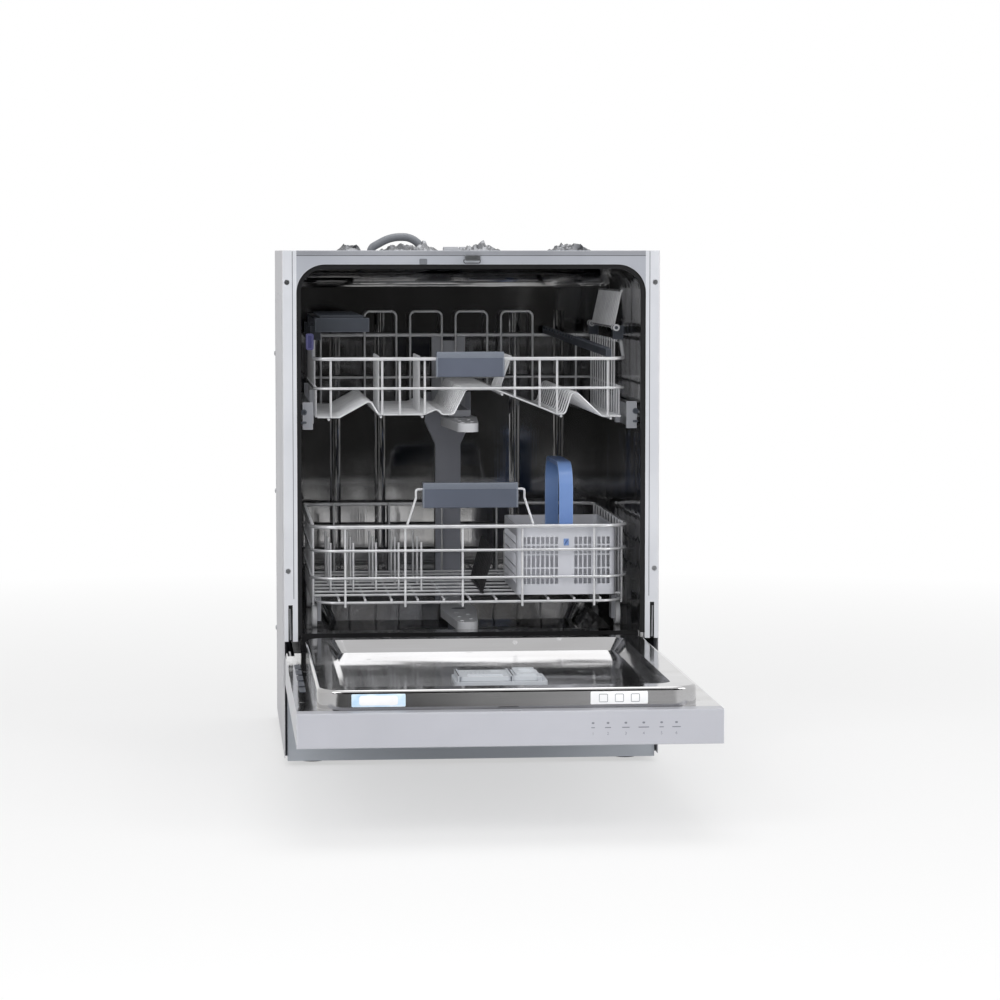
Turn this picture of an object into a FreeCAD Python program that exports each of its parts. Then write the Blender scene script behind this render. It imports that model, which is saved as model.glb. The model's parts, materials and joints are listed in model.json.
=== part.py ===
import FreeCAD, Part
import math
import os

Vec = FreeCAD.Vector

# Cabinet; millimetres, X to the right, Y into the machine from the front plane, Z up from the floor
cabinet_width = 598.0
cabinet_height = 818.0
cabinet_depth = 560.0
panel_sheet = 1.0
foot_height = 14.0
foot_radius = 19.0
foot_stem_radius = 5.0
foot_pad = 6.0
foot_inset = 45.0
post_width = 21.0
post_depth = 34.0
post_sheet = 1.2
post_rise = 38.0
post_slot_width = 7.0
post_slot_height = 58.0
rail_height = 22.0
rear_rail_height = 34.0
rear_rail_depth = 16.0
screw_radius = 4.0
screw_shank = 2.4
screw_hole_gap = 0.2
screw_stand = 0.5
screw_length = 6.0
screw_rise = 112.0
screw_drop = 50.0

# Base
base_wall = 3.0
base_front = 24.0
base_front_drop = 4.0
saddle_width = 12.0
saddle_front = 60.0
kick_gap = 4.0
kick_front = 8.0
kick_sheet = 1.5
kick_side_gap = 4.0
kick_bottom = 8.0

# Tub
tub_sheet = 1.0
tub_setback = 6.0
tub_corner = 38.0
tub_leg_drop = 10.0
tub_back_gap = 23.0
tub_back_round = 36.0
cove_flange = 10.0
tub_rib_radius = 16.0
tub_rib_height = 3.0
tub_rib_places = (-196.0, -118.0, 118.0, 196.0)
seal_width = 7.0
seal_depth = 9.0
seal_front = 2.0
sill_strip = 1.8
sill_strip_height = 30.0
sill_gap = 1.0
ledge_width = 39.0
pan_depth = 31.0
pan_draft = 18.0
pan_corner = 30.0

# Door, lying open
hinge_y = -20.0
hinge_z = 162.0
hinge_pin_radius = 5.0
hinge_fit = 0.05
hinge_plate = 3.0
hinge_boss = 12.0
hinge_side_inset = 8.0
hinge_arm_sheet = 3.5
hinge_arm_length = 130.0
hinge_arm_gap = 4.0
hinge_play = 4.0
door_side_gap = 1.5
door_drop = 30.0
door_rise = 19.0
door_tail = 22.0
door_top_gap = 2.0
door_sheet = 1.0
plateau_height = 28.0
plateau_gap = 2.5
plateau_tail = 4.0
plateau_edge = 5.0
tray_rim = 34.0
tray_depth = 19.0
tray_draft = 14.0
tray_corner = 26.0
control_depth = 28.0
control_wall = 2.5
control_edge = 2.0

# Dispenser on the door
dispenser_x = 4.5
dispenser_reach = 410.0
dispenser_width = 134.0
dispenser_length = 94.0
dispenser_bezel = 6.0
dispenser_corner = 9.0
dispenser_lip = 6.0
dispenser_sink = 40.0
dispenser_fit = 0.3
lid_width = 76.0
cap_width = 41.0
cap_crown = 3.5
cap_crown_inset = 3.0
soap_near_inset = 4.0
soap_far_inset = 8.0
soap_wall = 3.0
rinse_port_radius = 14.0
lid_corner = 5.0
lid_grip_inset = 12.0
lid_grip_setback = 8.0
lid_grip_width = 4.0
lid_grip_height = 2.5
lid_length = 76.0
lid_thickness = 6.5
lid_gap = 0.3
lid_guide = 2.0
lid_guide_lip = 2.2
lid_guide_sheet = 1.2
cap_pin_radius = 1.5
cap_fit = 0.05
cap_ear_half = 2.5
cap_ear_wall = 3.0
cap_pin_depth = 5.0
cap_bore_depth = 4.5

# Latch
latch_width = 24.0
latch_height = 8.0
latch_reach = 16.0
latch_corner = 2.0
latch_drop = 10.0
latch_room = 2.0
latch_pivot_inset = 10.0
latch_pivot_drop = 8.0
latch_pin_radius = 2.0
latch_fit = 0.05
latch_lever = 6.0

# Water parts
sump_x = 15.0
sump_lead = 42.0
sump_width = 200.0
sump_length = 186.0
sump_depth = 96.0
sump_wall = 2.5
sump_corner = 20.0
filter_plate_sheet = 1.5
filter_plate_lap = 8.0
filter_x = 62.0
filter_y = 205.0
filter_radius = 36.0
filter_height = 78.0
filter_gap = 0.3
filter_knob = 12.0
filter_knob_share = 0.7
pan_cut = 4.0
arm_front_gap = 69.0
arm_back_gap = 47.0
arm_pin_radius = 12.0
arm_fit = 0.05
arm_thickness = 14.0
arm_hub_radius = 30.0
arm_tip_radius = 17.0
arm_collar_wall = 3.0
arm_cap_wall = 6.0
arm_lift = 27.0
pump_radius = 45.0
pump_length = 120.0
pump_neck_length = 30.0
pump_neck_share = 0.55
drain_radius = 26.0
drain_spigot_radius = 10.0
drain_spigot_length = 20.0
drain_body_length = 70.0
drain_pipe_length = 20.0
drain_pipe_lap = 10.0
drain_pipe_wall = 3.0
inlet_thread_radius = 13.2
inlet_thread_length = 14.0
valve_size = 46.0
port_gap = 12.0
softener_gap = 2.5
salt_y = 125.0
salt_radius = 32.0
salt_neck_radius = 26.0
salt_cap_height = 14.0
salt_gap = 0.3
salt_notches = 6
salt_notch_radius = 6.0
salt_notch_setback = 2.0
softener_width = 120.0
softener_length = 150.0
softener_corner = 18.0
softener_drop = 20.0
feed_width = 44.0
feed_depth = 16.0
feed_rise = 16.0
feed_flare = 18.0
feed_taper_low = 60.0
feed_taper_top = 20.0

# Roof
mat_thickness = 3.0
mat_margin = 40.0
mat_corner = 12.0
hose_radius = 6.5
coupling_radius = 15.0
coupling_length = 74.0
coupling_groove = 2.0
groove_places = (0.33, 0.66)
coupling_x = 6.0
roof_run_y = 200.0
hose_boss_x = -150.0
hose_boss_radius = 11.0
hose_boss_height = 12.0
hose_peak = 31.0
hose_bend_share = 0.45
hose_run = 24.0
hose_climb = 26.0
hose_top_run = 36.0
hose_drop = 18.0

# Racks, pushed home
weld_gap = 0.05
lower_front_gap = 11.0
upper_front_gap = 14.5
rim_radius = 3.0
ring_radius = 2.25
wire_radius = 2.0
thin_radius = 1.5
rack_corner = 42.0
upper_corner = 20.0

lower_side_gap = 19.0
lower_back_gap = 29.0
lower_floor_lift = 27.7
lower_height = 122.0
lower_ring_steps = (84.0, 40.0)
lower_foot_drop = 7.0
lower_upright_inset = 10.0
lower_inner_uprights = (-104.0, -12.0, 84.0)
lower_side_pitch = 38.0
lower_side_inset = 6.0
lower_run_pitch = 44.0
lower_cross_pitch = 58.0
tine_height = 78.0
tine_pitch = 36.0
tine_rows = (1, 3, 5)
tine_left_inset = 32.0
tine_left_gap = 94.0
tine_right_gap = 62.0
tine_right_inset = 22.0
fold_x = 22.0
fold_rod_radius = 2.5
fold_gap = 0.4
fold_lean = 15.0
fold_start = 28.0
fold_length = 234.0
fold_count = 10
fold_end_inset = 8.0
fold_share = 0.9
wheel_radius = 19.0
wheel_width = 8.0
wheel_side_gap = 0.5
wheel_round = 1.2
wheel_holes = 5
wheel_hole_share = 0.22
wheel_inset = 5.0
wheel_front = 84.0
wheel_rear = 90.0
wheel_axle_radius = 4.0
wheel_fit = 0.05
wheel_lift = 0.3
bracket_thickness = 6.0
bracket_drop = 4.0
bracket_length = 30.0

basket_fold_gap = 54.0
basket_side_gap = 17.0
basket_length = 230.0
basket_height = 110.0
basket_wall = 2.2
basket_corner = 10.0
basket_clear = 5.0
basket_band = 16.0
basket_panel = 24.0
basket_columns = 8
basket_bar = 2.2
basket_rows = (0.16, 0.34, 0.62, 0.82)
basket_grip_width = 22.0
basket_grip_thickness = 7.0
basket_grip_rise = 101.6
basket_grip_corner = 46.0

handle_height = 40.0
handle_thickness = 18.0
handle_lip = 8.0
handle_round = 2.0
handle_plate = 3.0
lower_handle_width = 152.0
lower_handle_lift = 30.0
hook_reach = 11.0
hook_splay = 14.0
hook_bend = 4.0
hook_tail = 30.0
upper_handle_width = 108.0

upper_side_gap = 25.0
upper_back_gap = 37.0
upper_front_rise = 90.0
upper_rim_rise = 116.0
upper_ring_rise = 43.0
upper_dip = 52.0
upper_upright_inset = 24.0
upper_inner_uprights = (-140.0, -112.0, -72.0, 72.0, 112.0, 140.0)
upper_pitch = 32.0
upper_tine_rise = 92.0
upper_tine_leans = (0.0, 0.0, 20.0)
loop_width = 55.0
loop_pitch = 79.0
loop_count = 4
loop_rise = 157.0
loop_bend = 9.0
fold_bend = 7.0
# The cup floor's profile across the rack: distance from the left end, the middle or the right end, and rise
cup_left_profile = ((0.0, -3.0), (35.0, -3.0), (84.0, 24.0), (97.0, 1.0))
cup_middle_profile = ((-73.0, 1.0), (-52.0, 10.0), (-44.0, 1.0), (-26.0, 1.0), (-6.0, 41.0), (40.0, 41.0))
cup_right_profile = ((102.0, 1.0), (90.0, 1.0), (77.0, 41.0), (30.0, -3.0), (0.0, -3.0))
cup_run_left_insets = (18.0, 101.0)
cup_run_middle = (-76.0, 52.0)
cup_run_right_insets = (96.0, 16.0)

# Upper rack's rails, rollers and shelves
rail_share = 347.0 / 581.0
roller_radius = 16.0
roller_width = 9.0
roller_flange_gap = 0.5
roller_gap = 0.3
roller_setback = 48.0
roller_pitch = 34.5
roller_fit = 0.05
roller_stud_radius = 3.5
rail_sheet = 1.2
rail_side_gap = 8.0
rail_front_gap = 0.5
rail_overhang = 12.0
rail_cap = 10.0
rail_cap_lap = 4.0
clip_length = 14.0
clip_drop = 4.0
clip_rows = (3, 12)
shelf_pivot_inset = 6.0
shelf_pivot_rise = 22.0
shelf_pin_radius = 3.0
shelf_fit = 0.05
shelf_bracket_length = 16.0
shelf_bracket_wall = 4.0
shelf_side_gap = 0.5
shelf_room_inner = 26.0
shelf_room_outer = 20.0
shelf_bracket_front = 54.5
shelf_bracket_back = 70.0
shelf_width = 80.0
shelf_front_gap = 10.5
shelf_back_gap = 18.0
shelf_height = 22.0
shelf_wall = 2.5
shelf_slots = 14
shelf_slot_margin = 10.0
shelf_slot_setback = 14.0
shelf_slot_gap = 0.2
grid_lean = 12.0
grid_share = 58.0 / 96.0
grid_count = 15
grid_end_inset = 6.0
comb_front_inset = 24.0
comb_back_inset = 78.0
comb_height = 12.0
comb_width = 9.0
comb_notch = 5.0
comb_notches = 11
comb_notched_share = 0.5
comb_tooth_share = 0.25
duct_width = 36.0
duct_height = 10.0
duct_clear = 2.0
dock_gap = 2.0
upper_arm_lead = 10.0
upper_arm_drop = 15.0
yoke_width = 58.0
yoke_notch_drop = 10.0

# Joint travel used by the model's fits
lower_travel = 500.0
upper_travel = 400.0
lid_travel = 60.0

# Worked out from the above
panel_inner = cabinet_width / 2 - panel_sheet
post_inner = panel_inner - post_width
mouth_top = cabinet_height - rail_height
tub_half = post_inner - tub_setback
tub_roof = mouth_top - tub_setback
tub_front = seal_front + seal_depth
tub_back_y = cabinet_depth - tub_back_gap
tub_back_front = tub_back_y - tub_back_round
seal_inner = post_inner - seal_width
seal_top = mouth_top - seal_width
door_half = cabinet_width / 2 - door_side_gap
door_under = hinge_z - door_drop
door_flange = hinge_z + door_rise
door_near = hinge_y + door_tail
door_reach = cabinet_height - door_top_gap - hinge_z - hinge_y
door_far = -door_reach
plateau_top = door_flange + plateau_height
plateau_half = seal_inner - plateau_gap
plateau_near = hinge_y - plateau_tail
plateau_far = hinge_y + hinge_z - (seal_top - plateau_gap)
control_near = door_far + control_depth
tray_floor = plateau_top - tray_depth
closed_face = hinge_y + plateau_top - hinge_z
post_bottom = hinge_z + post_rise
screw_levels = (post_bottom + screw_rise, cabinet_height - screw_drop)
tub_leg_bottom = hinge_z - tub_leg_drop
plateau_corner = tub_corner
ledge_top = plateau_top
sill_y = closed_face + sill_gap + sill_strip
pan_floor = ledge_top - pan_depth
swing_radius = math.hypot(door_tail, door_drop)
kick_top = hinge_z - swing_radius - kick_gap
base_floor = foot_height + base_wall
hinge_plate_x = panel_inner - hinge_side_inset
hinge_arm_x = hinge_plate_x - hinge_plate - hinge_play
dispenser_y = hinge_y - dispenser_reach
lid_z = tray_floor + dispenser_bezel + lid_gap
lid_left = dispenser_x - dispenser_width / 2 + dispenser_lip
cap_left = lid_left + lid_width + dispenser_lip / 2
cap_pivot_x = cap_left + cap_width - lid_thickness / 2
cap_pivot_z = lid_z + lid_thickness / 2
latch_z = mouth_top + latch_drop
latch_door_y = hinge_y + hinge_z - latch_z
latch_pivot_y = control_near - latch_pivot_inset
latch_pivot_z = hinge_z - latch_pivot_drop
arm_base = pan_floor + arm_lift
arm_reach = (tub_back_y - arm_back_gap - tub_front - arm_front_gap) / 2
arm_y = tub_front + arm_front_gap + arm_reach
upper_arm_y = arm_y - upper_arm_lead
sump_y = arm_y - sump_lead
salt_x = sump_x - sump_width / 2 - sump_wall - softener_gap - softener_width / 2
salt_cap_base = pan_floor + salt_gap
rack_front = closed_face + lower_front_gap
lower_half = tub_half - lower_side_gap
lower_back = tub_back_y - lower_back_gap
wheel_x = lower_half - wheel_inset
wheel_z = ledge_top + wheel_lift + wheel_radius
wheel_places = (rack_front + wheel_front, lower_back - wheel_rear)
lower_floor = wheel_z + lower_floor_lift
lower_rim = lower_floor + lower_height
lower_rings = tuple(lower_floor + step for step in lower_ring_steps)
lower_foot = lower_floor - lower_foot_drop
lower_end_upright = lower_half - rack_corner - lower_upright_inset
lower_uprights = (-lower_end_upright,) + lower_inner_uprights + (lower_end_upright,)
lower_run_z = lower_floor + ring_radius + weld_gap + wire_radius
lower_cross_z = lower_run_z + 2 * wire_radius + weld_gap
lower_deck = lower_cross_z + wire_radius
fold_z = lower_deck + fold_gap + fold_rod_radius
fold_span = (rack_front + fold_start, rack_front + fold_start + fold_length)
tine_left = (-lower_half + tine_left_inset, fold_x - tine_left_gap)
tine_right = (fold_x + tine_right_gap, lower_half - tine_right_inset)
lower_handle_bottom = lower_rim + lower_handle_lift
basket_left = fold_x + basket_fold_gap
basket_right = lower_half - basket_side_gap
basket_front = rack_front + 2 * wire_radius + basket_clear
basket_back = basket_front + basket_length
basket_bottom = lower_deck + weld_gap
basket_top = basket_bottom + basket_height
basket_mid = (basket_left + basket_right) / 2
basket_grip_top = basket_top + basket_grip_rise
upper_front = closed_face + upper_front_gap
upper_half = tub_half - upper_side_gap
upper_back = tub_back_y - upper_back_gap
rail_axis = ledge_top + (tub_roof - ledge_top) * rail_share
rail_web = upper_half + rail_side_gap
rail_front = upper_front + rail_front_gap
rail_back = upper_back + rail_overhang
roller_places = (tub_front + roller_setback, tub_front + roller_setback + roller_pitch)
upper_front_rim = rail_axis + upper_front_rise
upper_rim = rail_axis + upper_rim_rise
upper_ring = rail_axis + upper_ring_rise
upper_tine_top = rail_axis + upper_tine_rise
upper_tine_rows = (2, 7)
upper_end_upright = upper_half - upper_upright_inset
upper_front_uprights = (-upper_end_upright,) + upper_inner_uprights + (upper_end_upright,)
upper_back_uprights = (-upper_end_upright, upper_end_upright)
loop_top = rail_axis + loop_rise
cup_half = upper_half - 2 * thin_radius - weld_gap
cup_floor = tuple((inset - cup_half, rail_axis + rise) for inset, rise in cup_left_profile)
cup_floor += tuple((x, rail_axis + rise) for x, rise in cup_middle_profile)
cup_floor += tuple((cup_half - inset, rail_axis + rise) for inset, rise in cup_right_profile)
cup_runs = tuple(inset - cup_half for inset in cup_run_left_insets) + cup_run_middle
upper_tine_places = cup_runs[1:]
cup_runs += tuple(cup_half - inset for inset in cup_run_right_insets)
shelf_pivot_x = upper_half - shelf_pivot_inset
shelf_pivot_z = upper_rim + shelf_pivot_rise
grid_height = (tub_roof - shelf_pivot_z) * grid_share
shelf_bracket_places = (upper_front + shelf_bracket_front, upper_back - shelf_bracket_back)
shelf_span = (upper_front + shelf_front_gap, upper_back - shelf_back_gap)
comb_front_x = upper_half - comb_front_inset
comb_back_x = upper_half - comb_back_inset
upper_arm_top = rail_axis - upper_arm_drop
feed_top = rail_axis + feed_rise
rail_inner = roller_radius + roller_gap
upper_arm_base = upper_arm_top - arm_thickness
upper_handle_bottom = upper_front_rim + rim_radius + weld_gap - handle_height + handle_lip
upper_rows_front = upper_front + 2 * wire_radius + weld_gap + thin_radius
upper_rows_back = upper_back - 2 * wire_radius - weld_gap - thin_radius
origin_y = (cabinet_depth - door_reach) / 2


def box(xa, xb, ya, yb, za, zb):
    low = Vec(min(xa, xb), min(ya, yb), min(za, zb))
    return Part.makeBox(abs(xb - xa), abs(yb - ya), abs(zb - za), low)


def cylinder(radius, start, end):
    along = end.sub(start)
    return Part.makeCylinder(radius, along.Length, start, along)


def mirrored(shape):
    return shape.mirror(Vec(0, 0, 0), Vec(1, 0, 0))


def both_sides(shape):
    return Part.makeCompound([shape, mirrored(shape)])


def group(shapes):
    return Part.makeCompound(list(shapes))


def spread(low, high, pitch):
    count = max(1, round((high - low) / pitch))
    return [low + (high - low) * index / count for index in range(count + 1)]


def rounded_rectangle(xa, xb, ya, yb, corner, z):
    edges = []
    centres = ((xb - corner, yb - corner, 0), (xa + corner, yb - corner, 90),
               (xa + corner, ya + corner, 180), (xb - corner, ya + corner, 270))
    arcs = []
    for x, y, start in centres:
        circle = Part.Circle(Vec(x, y, z), Vec(0, 0, 1), corner)
        arcs.append(Part.ArcOfCircle(circle, math.radians(start), math.radians(start + 90)).toShape())
    for index, arc in enumerate(arcs):
        following = arcs[(index + 1) % 4]
        edges.append(arc)
        edges.append(Part.makeLine(arc.Vertexes[-1].Point, following.Vertexes[0].Point))
    return Part.Wire(edges)


def rounded_block(xa, xb, ya, yb, za, zb, corner):
    face = Part.Face(rounded_rectangle(xa, xb, ya, yb, corner, za))
    return face.extrude(Vec(0, 0, zb - za))


def tapered_pocket(xa, xb, ya, yb, top, bottom, corner, draft):
    upper = rounded_rectangle(xa, xb, ya, yb, corner, top)
    lower = rounded_rectangle(xa + draft, xb - draft, ya + draft, yb - draft, corner - draft / 2, bottom)
    return Part.makeLoft([lower, upper], True, True)


def arch(half, top, bottom, corner, ya, yb):
    start = Vec(-half, ya, bottom)
    left = Vec(-half, ya, top - corner)
    left_mid = Vec(-half + corner * (1 - math.sqrt(0.5)), ya, top - corner * (1 - math.sqrt(0.5)))
    left_end = Vec(-half + corner, ya, top)
    flip = lambda point: Vec(-point.x, point.y, point.z)
    edges = [
        Part.makeLine(start, left),
        Part.Arc(left, left_mid, left_end).toShape(),
        Part.makeLine(left_end, flip(left_end)),
        Part.Arc(flip(left_end), flip(left_mid), flip(left)).toShape(),
        Part.makeLine(flip(left), flip(start)),
        Part.makeLine(flip(start), start),
    ]
    return Part.Face(Part.Wire(edges)).extrude(Vec(0, yb - ya, 0))


def bent_wire(points, radius, bends):
    points = [Vec(*point) for point in points]
    if not isinstance(bends, list):
        bends = [bends] * (len(points) - 2)
    edges = []
    here = points[0]
    for before, corner, after, bend in zip(points, points[1:], points[2:], bends):
        into = corner.sub(before).normalize()
        out = after.sub(corner).normalize()
        turn = math.acos(max(-1.0, min(1.0, into.dot(out))))
        reach = bend * math.tan(turn / 2)
        first = corner.sub(into * reach)
        last = corner.add(out * reach)
        inward = out.sub(into).normalize()
        middle = corner.add(inward * (bend / math.cos(turn / 2) - bend))
        edges.append(Part.makeLine(here, first))
        edges.append(Part.Arc(first, middle, last).toShape())
        here = last
    edges.append(Part.makeLine(here, points[-1]))
    section = Part.Wire(Part.Circle(points[0], points[1].sub(points[0]), radius).toShape())
    return Part.Wire(edges).makePipeShell([section], True, False)


def widest_bends(points):
    points = [Vec(*point) for point in points]
    bends = []
    for before, corner, after in zip(points, points[1:], points[2:]):
        into = corner.sub(before)
        out = after.sub(corner)
        bends.append(hose_bend_share * min(into.Length, out.Length) / math.tan(into.getAngle(out) / 2))
    return bends


def bent_length(points, bends):
    points = [Vec(*point) for point in points]
    total = sum(second.sub(first).Length for first, second in zip(points, points[1:]))
    for before, corner, after, bend in zip(points, points[1:], points[2:], bends):
        turn = corner.sub(before).getAngle(after.sub(corner))
        total += bend * (turn - 2 * math.tan(turn / 2))
    return total


def wire_ring(half, front, back, z, corner, radius):
    pieces = []
    for x in (-half, half):
        pieces.append(cylinder(radius, Vec(x, front + corner, z), Vec(x, back - corner, z)))
    for y in (front, back):
        pieces.append(cylinder(radius, Vec(-half + corner, y, z), Vec(half - corner, y, z)))
    centres = ((half - corner, back - corner, 0), (-half + corner, back - corner, 90),
               (-half + corner, front + corner, 180), (half - corner, front + corner, 270))
    for x, y, start in centres:
        bend = Part.makeTorus(corner, radius, Vec(0, 0, 0), Vec(0, 0, 1), 0, 360, 90)
        bend.rotate(Vec(0, 0, 0), Vec(0, 0, 1), start)
        bend.translate(Vec(x, y, z))
        pieces.append(bend)
    return pieces


def spray_arm(centre_y, base, reach, socket_radius):
    outline = []
    for end in (-1, 1):
        outline.append(Part.makeCylinder(arm_tip_radius, arm_thickness,
                                         Vec(0, end * (reach - arm_tip_radius), 0)))
    outline.append(Part.makeCylinder(arm_hub_radius, arm_thickness))
    half = reach - arm_tip_radius
    corners = [Vec(-arm_hub_radius, 0, 0), Vec(-arm_tip_radius, half, 0), Vec(arm_tip_radius, half, 0),
               Vec(arm_hub_radius, 0, 0), Vec(arm_tip_radius, -half, 0), Vec(-arm_tip_radius, -half, 0)]
    blade = Part.Face(Part.makePolygon(corners + corners[:1])).extrude(Vec(0, 0, arm_thickness))
    arm = blade.fuse(outline).removeSplitter()
    arm = arm.cut(Part.makeCylinder(socket_radius, arm_thickness * 3, Vec(0, 0, -arm_thickness)))
    arm.translate(Vec(0, centre_y, base))
    return arm


def cabinet_nodes():
    nodes = {}
    panel = box(panel_inner, cabinet_width / 2, 0, cabinet_depth, foot_height, cabinet_height)
    nodes["side_panels"] = both_sides(panel)

    post = box(post_inner, panel_inner, 0, post_depth, post_bottom, cabinet_height)
    hollow = box(post_inner + post_sheet, panel_inner - post_sheet, post_sheet, post_depth + 1,
                 post_bottom - 1, cabinet_height + 1)
    slot_x = hinge_plate_x - hinge_plate / 2
    slot = box(slot_x - post_slot_width / 2, slot_x + post_slot_width / 2, -1, post_sheet + 1,
               post_bottom - 1, post_bottom + post_slot_height)
    screw_x = panel_inner - post_sheet - screw_radius - 1
    holes = [cylinder(screw_shank + screw_hole_gap, Vec(screw_x, -1, z), Vec(screw_x, post_sheet + 1, z))
             for z in screw_levels]
    nodes["front_posts"] = both_sides(post.cut([hollow, slot] + holes))
    screws = []
    for z in screw_levels:
        head = cylinder(screw_radius, Vec(screw_x, -screw_stand, z), Vec(screw_x, 0, z))
        shank = cylinder(screw_shank, Vec(screw_x, -screw_stand / 2, z), Vec(screw_x, screw_length, z))
        screws.append(head.fuse(shank).removeSplitter())
    nodes["post_screws"] = group(screws + [mirrored(screw) for screw in screws])

    rail = box(-post_inner, post_inner, 0, post_depth, mouth_top, cabinet_height)
    rail = rail.cut(box(-post_inner - 1, post_inner + 1, post_sheet, post_depth + 1,
                        mouth_top + post_sheet, cabinet_height - post_sheet))
    mouth_corner = tub_corner + seal_width
    corners = box(-post_inner, post_inner, 0, post_sheet, mouth_top - mouth_corner, mouth_top)
    corners = corners.cut(arch(post_inner, mouth_top, post_bottom, mouth_corner, -1, post_sheet + 1))
    nodes["top_rail"] = rail.fuse(corners).removeSplitter()
    rear_bottom = cabinet_height - rear_rail_height
    rear = box(-panel_inner, panel_inner, tub_back_y + tub_sheet, tub_back_y + tub_sheet + rear_rail_depth,
               rear_bottom, cabinet_height)
    nodes["rear_rail"] = rear.cut(box(-panel_inner - 1, panel_inner + 1,
                                      tub_back_y + tub_sheet + post_sheet,
                                      cabinet_depth + 1, rear_bottom + post_sheet,
                                      cabinet_height - post_sheet))

    latch = rounded_block(-latch_width / 2, latch_width / 2, 0, latch_height, 0, latch_reach, latch_corner)
    latch.rotate(Vec(0, 0, 0), Vec(1, 0, 0), 90)
    latch.translate(Vec(0, 0, latch_z - latch_height / 2))
    nodes["latch_strike"] = latch
    return nodes


def base_nodes():
    nodes = {}
    top = tub_leg_bottom
    front_top = kick_top - base_front_drop
    tray = box(-panel_inner, panel_inner, base_front, cabinet_depth, foot_height, post_bottom)
    inside = box(-panel_inner + base_wall, panel_inner - base_wall, base_front + base_wall,
                 cabinet_depth - base_wall, base_floor, post_bottom + 1)
    front_cut = box(-panel_inner + base_wall, panel_inner - base_wall, base_front - 1,
                    base_front + base_wall + 1, front_top, post_bottom + 1)
    rear_cut = box(-panel_inner + base_wall, panel_inner - base_wall, cabinet_depth - base_wall - 1,
                   cabinet_depth + 1, top, post_bottom + 1)
    saddle_x = tub_half + tub_sheet / 2
    saddle = box(saddle_x - saddle_width / 2, saddle_x + saddle_width / 2, saddle_front, tub_back_y,
                 foot_height, top)
    tray = tray.cut([inside, front_cut, rear_cut]).fuse([saddle, mirrored(saddle)])
    ports = [cylinder(inlet_thread_radius + port_gap,
                      Vec(inlet_x(), cabinet_depth - 2 * base_wall, port_z()),
                      Vec(inlet_x(), cabinet_depth + 1, port_z())),
             cylinder(drain_spigot_radius + port_gap,
                      Vec(drain_x(), cabinet_depth - 2 * base_wall, port_z()),
                      Vec(drain_x(), cabinet_depth + 1, port_z()))]
    nodes["base_tray"] = tray.cut(ports).removeSplitter()

    feet = []
    for x in (-panel_inner + foot_inset, panel_inner - foot_inset):
        for y in (base_front + foot_inset, cabinet_depth - foot_inset):
            pad = Part.makeCylinder(foot_radius, foot_pad, Vec(x, y, 0))
            stem = Part.makeCylinder(foot_stem_radius, foot_height, Vec(x, y, 0))
            feet.append(pad.fuse(stem).removeSplitter())
    nodes["levelling_feet"] = group(feet)

    half = panel_inner - kick_side_gap
    kick = box(-half, half, kick_front, base_front, kick_bottom, kick_top)
    nodes["kick_plate"] = kick.cut(box(-half + kick_sheet, half - kick_sheet, kick_front + kick_sheet,
                                       base_front + 1, kick_bottom + kick_sheet, kick_top - kick_sheet))

    plate = box(hinge_plate_x - hinge_plate, hinge_plate_x, hinge_y, base_front + saddle_front,
                hinge_z - hinge_boss, hinge_z + hinge_boss)
    eye = cylinder(hinge_boss, Vec(hinge_plate_x - hinge_plate, hinge_y, hinge_z),
                   Vec(hinge_plate_x, hinge_y, hinge_z))
    pin = cylinder(hinge_pin_radius, Vec(hinge_arm_x - hinge_arm_sheet, hinge_y, hinge_z),
                   Vec(hinge_plate_x, hinge_y, hinge_z))
    foot = box(hinge_plate_x - hinge_plate, panel_inner - base_wall, base_front + base_wall,
               base_front + saddle_front, hinge_z - hinge_boss, hinge_z - hinge_boss + hinge_plate)
    nodes["hinge_brackets"] = both_sides(plate.fuse([eye, pin, foot]).removeSplitter())
    return nodes


def inlet_x():
    return -panel_inner + foot_inset + 2 * foot_radius


def drain_x():
    return -inlet_x()


def port_z():
    return base_floor + valve_size / 2


def tub_cove():
    middle_y = tub_back_front
    middle_z = tub_roof - tub_back_round
    ring = cylinder(tub_back_round, Vec(-tub_half, middle_y, middle_z), Vec(tub_half, middle_y, middle_z))
    ring = ring.cut(cylinder(tub_back_round - tub_sheet, Vec(-tub_half, middle_y, middle_z),
                             Vec(tub_half, middle_y, middle_z)))
    quarter = box(-tub_half, tub_half, middle_y, tub_back_y, middle_z, tub_roof)
    flange = box(-tub_half, tub_half, tub_back_y - tub_sheet, tub_back_y, middle_z - cove_flange, middle_z)
    room = arch(tub_half, tub_roof, tub_leg_bottom, tub_corner, tub_front, tub_back_y)
    return ring.common(quarter).fuse(flange).common(room)


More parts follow.
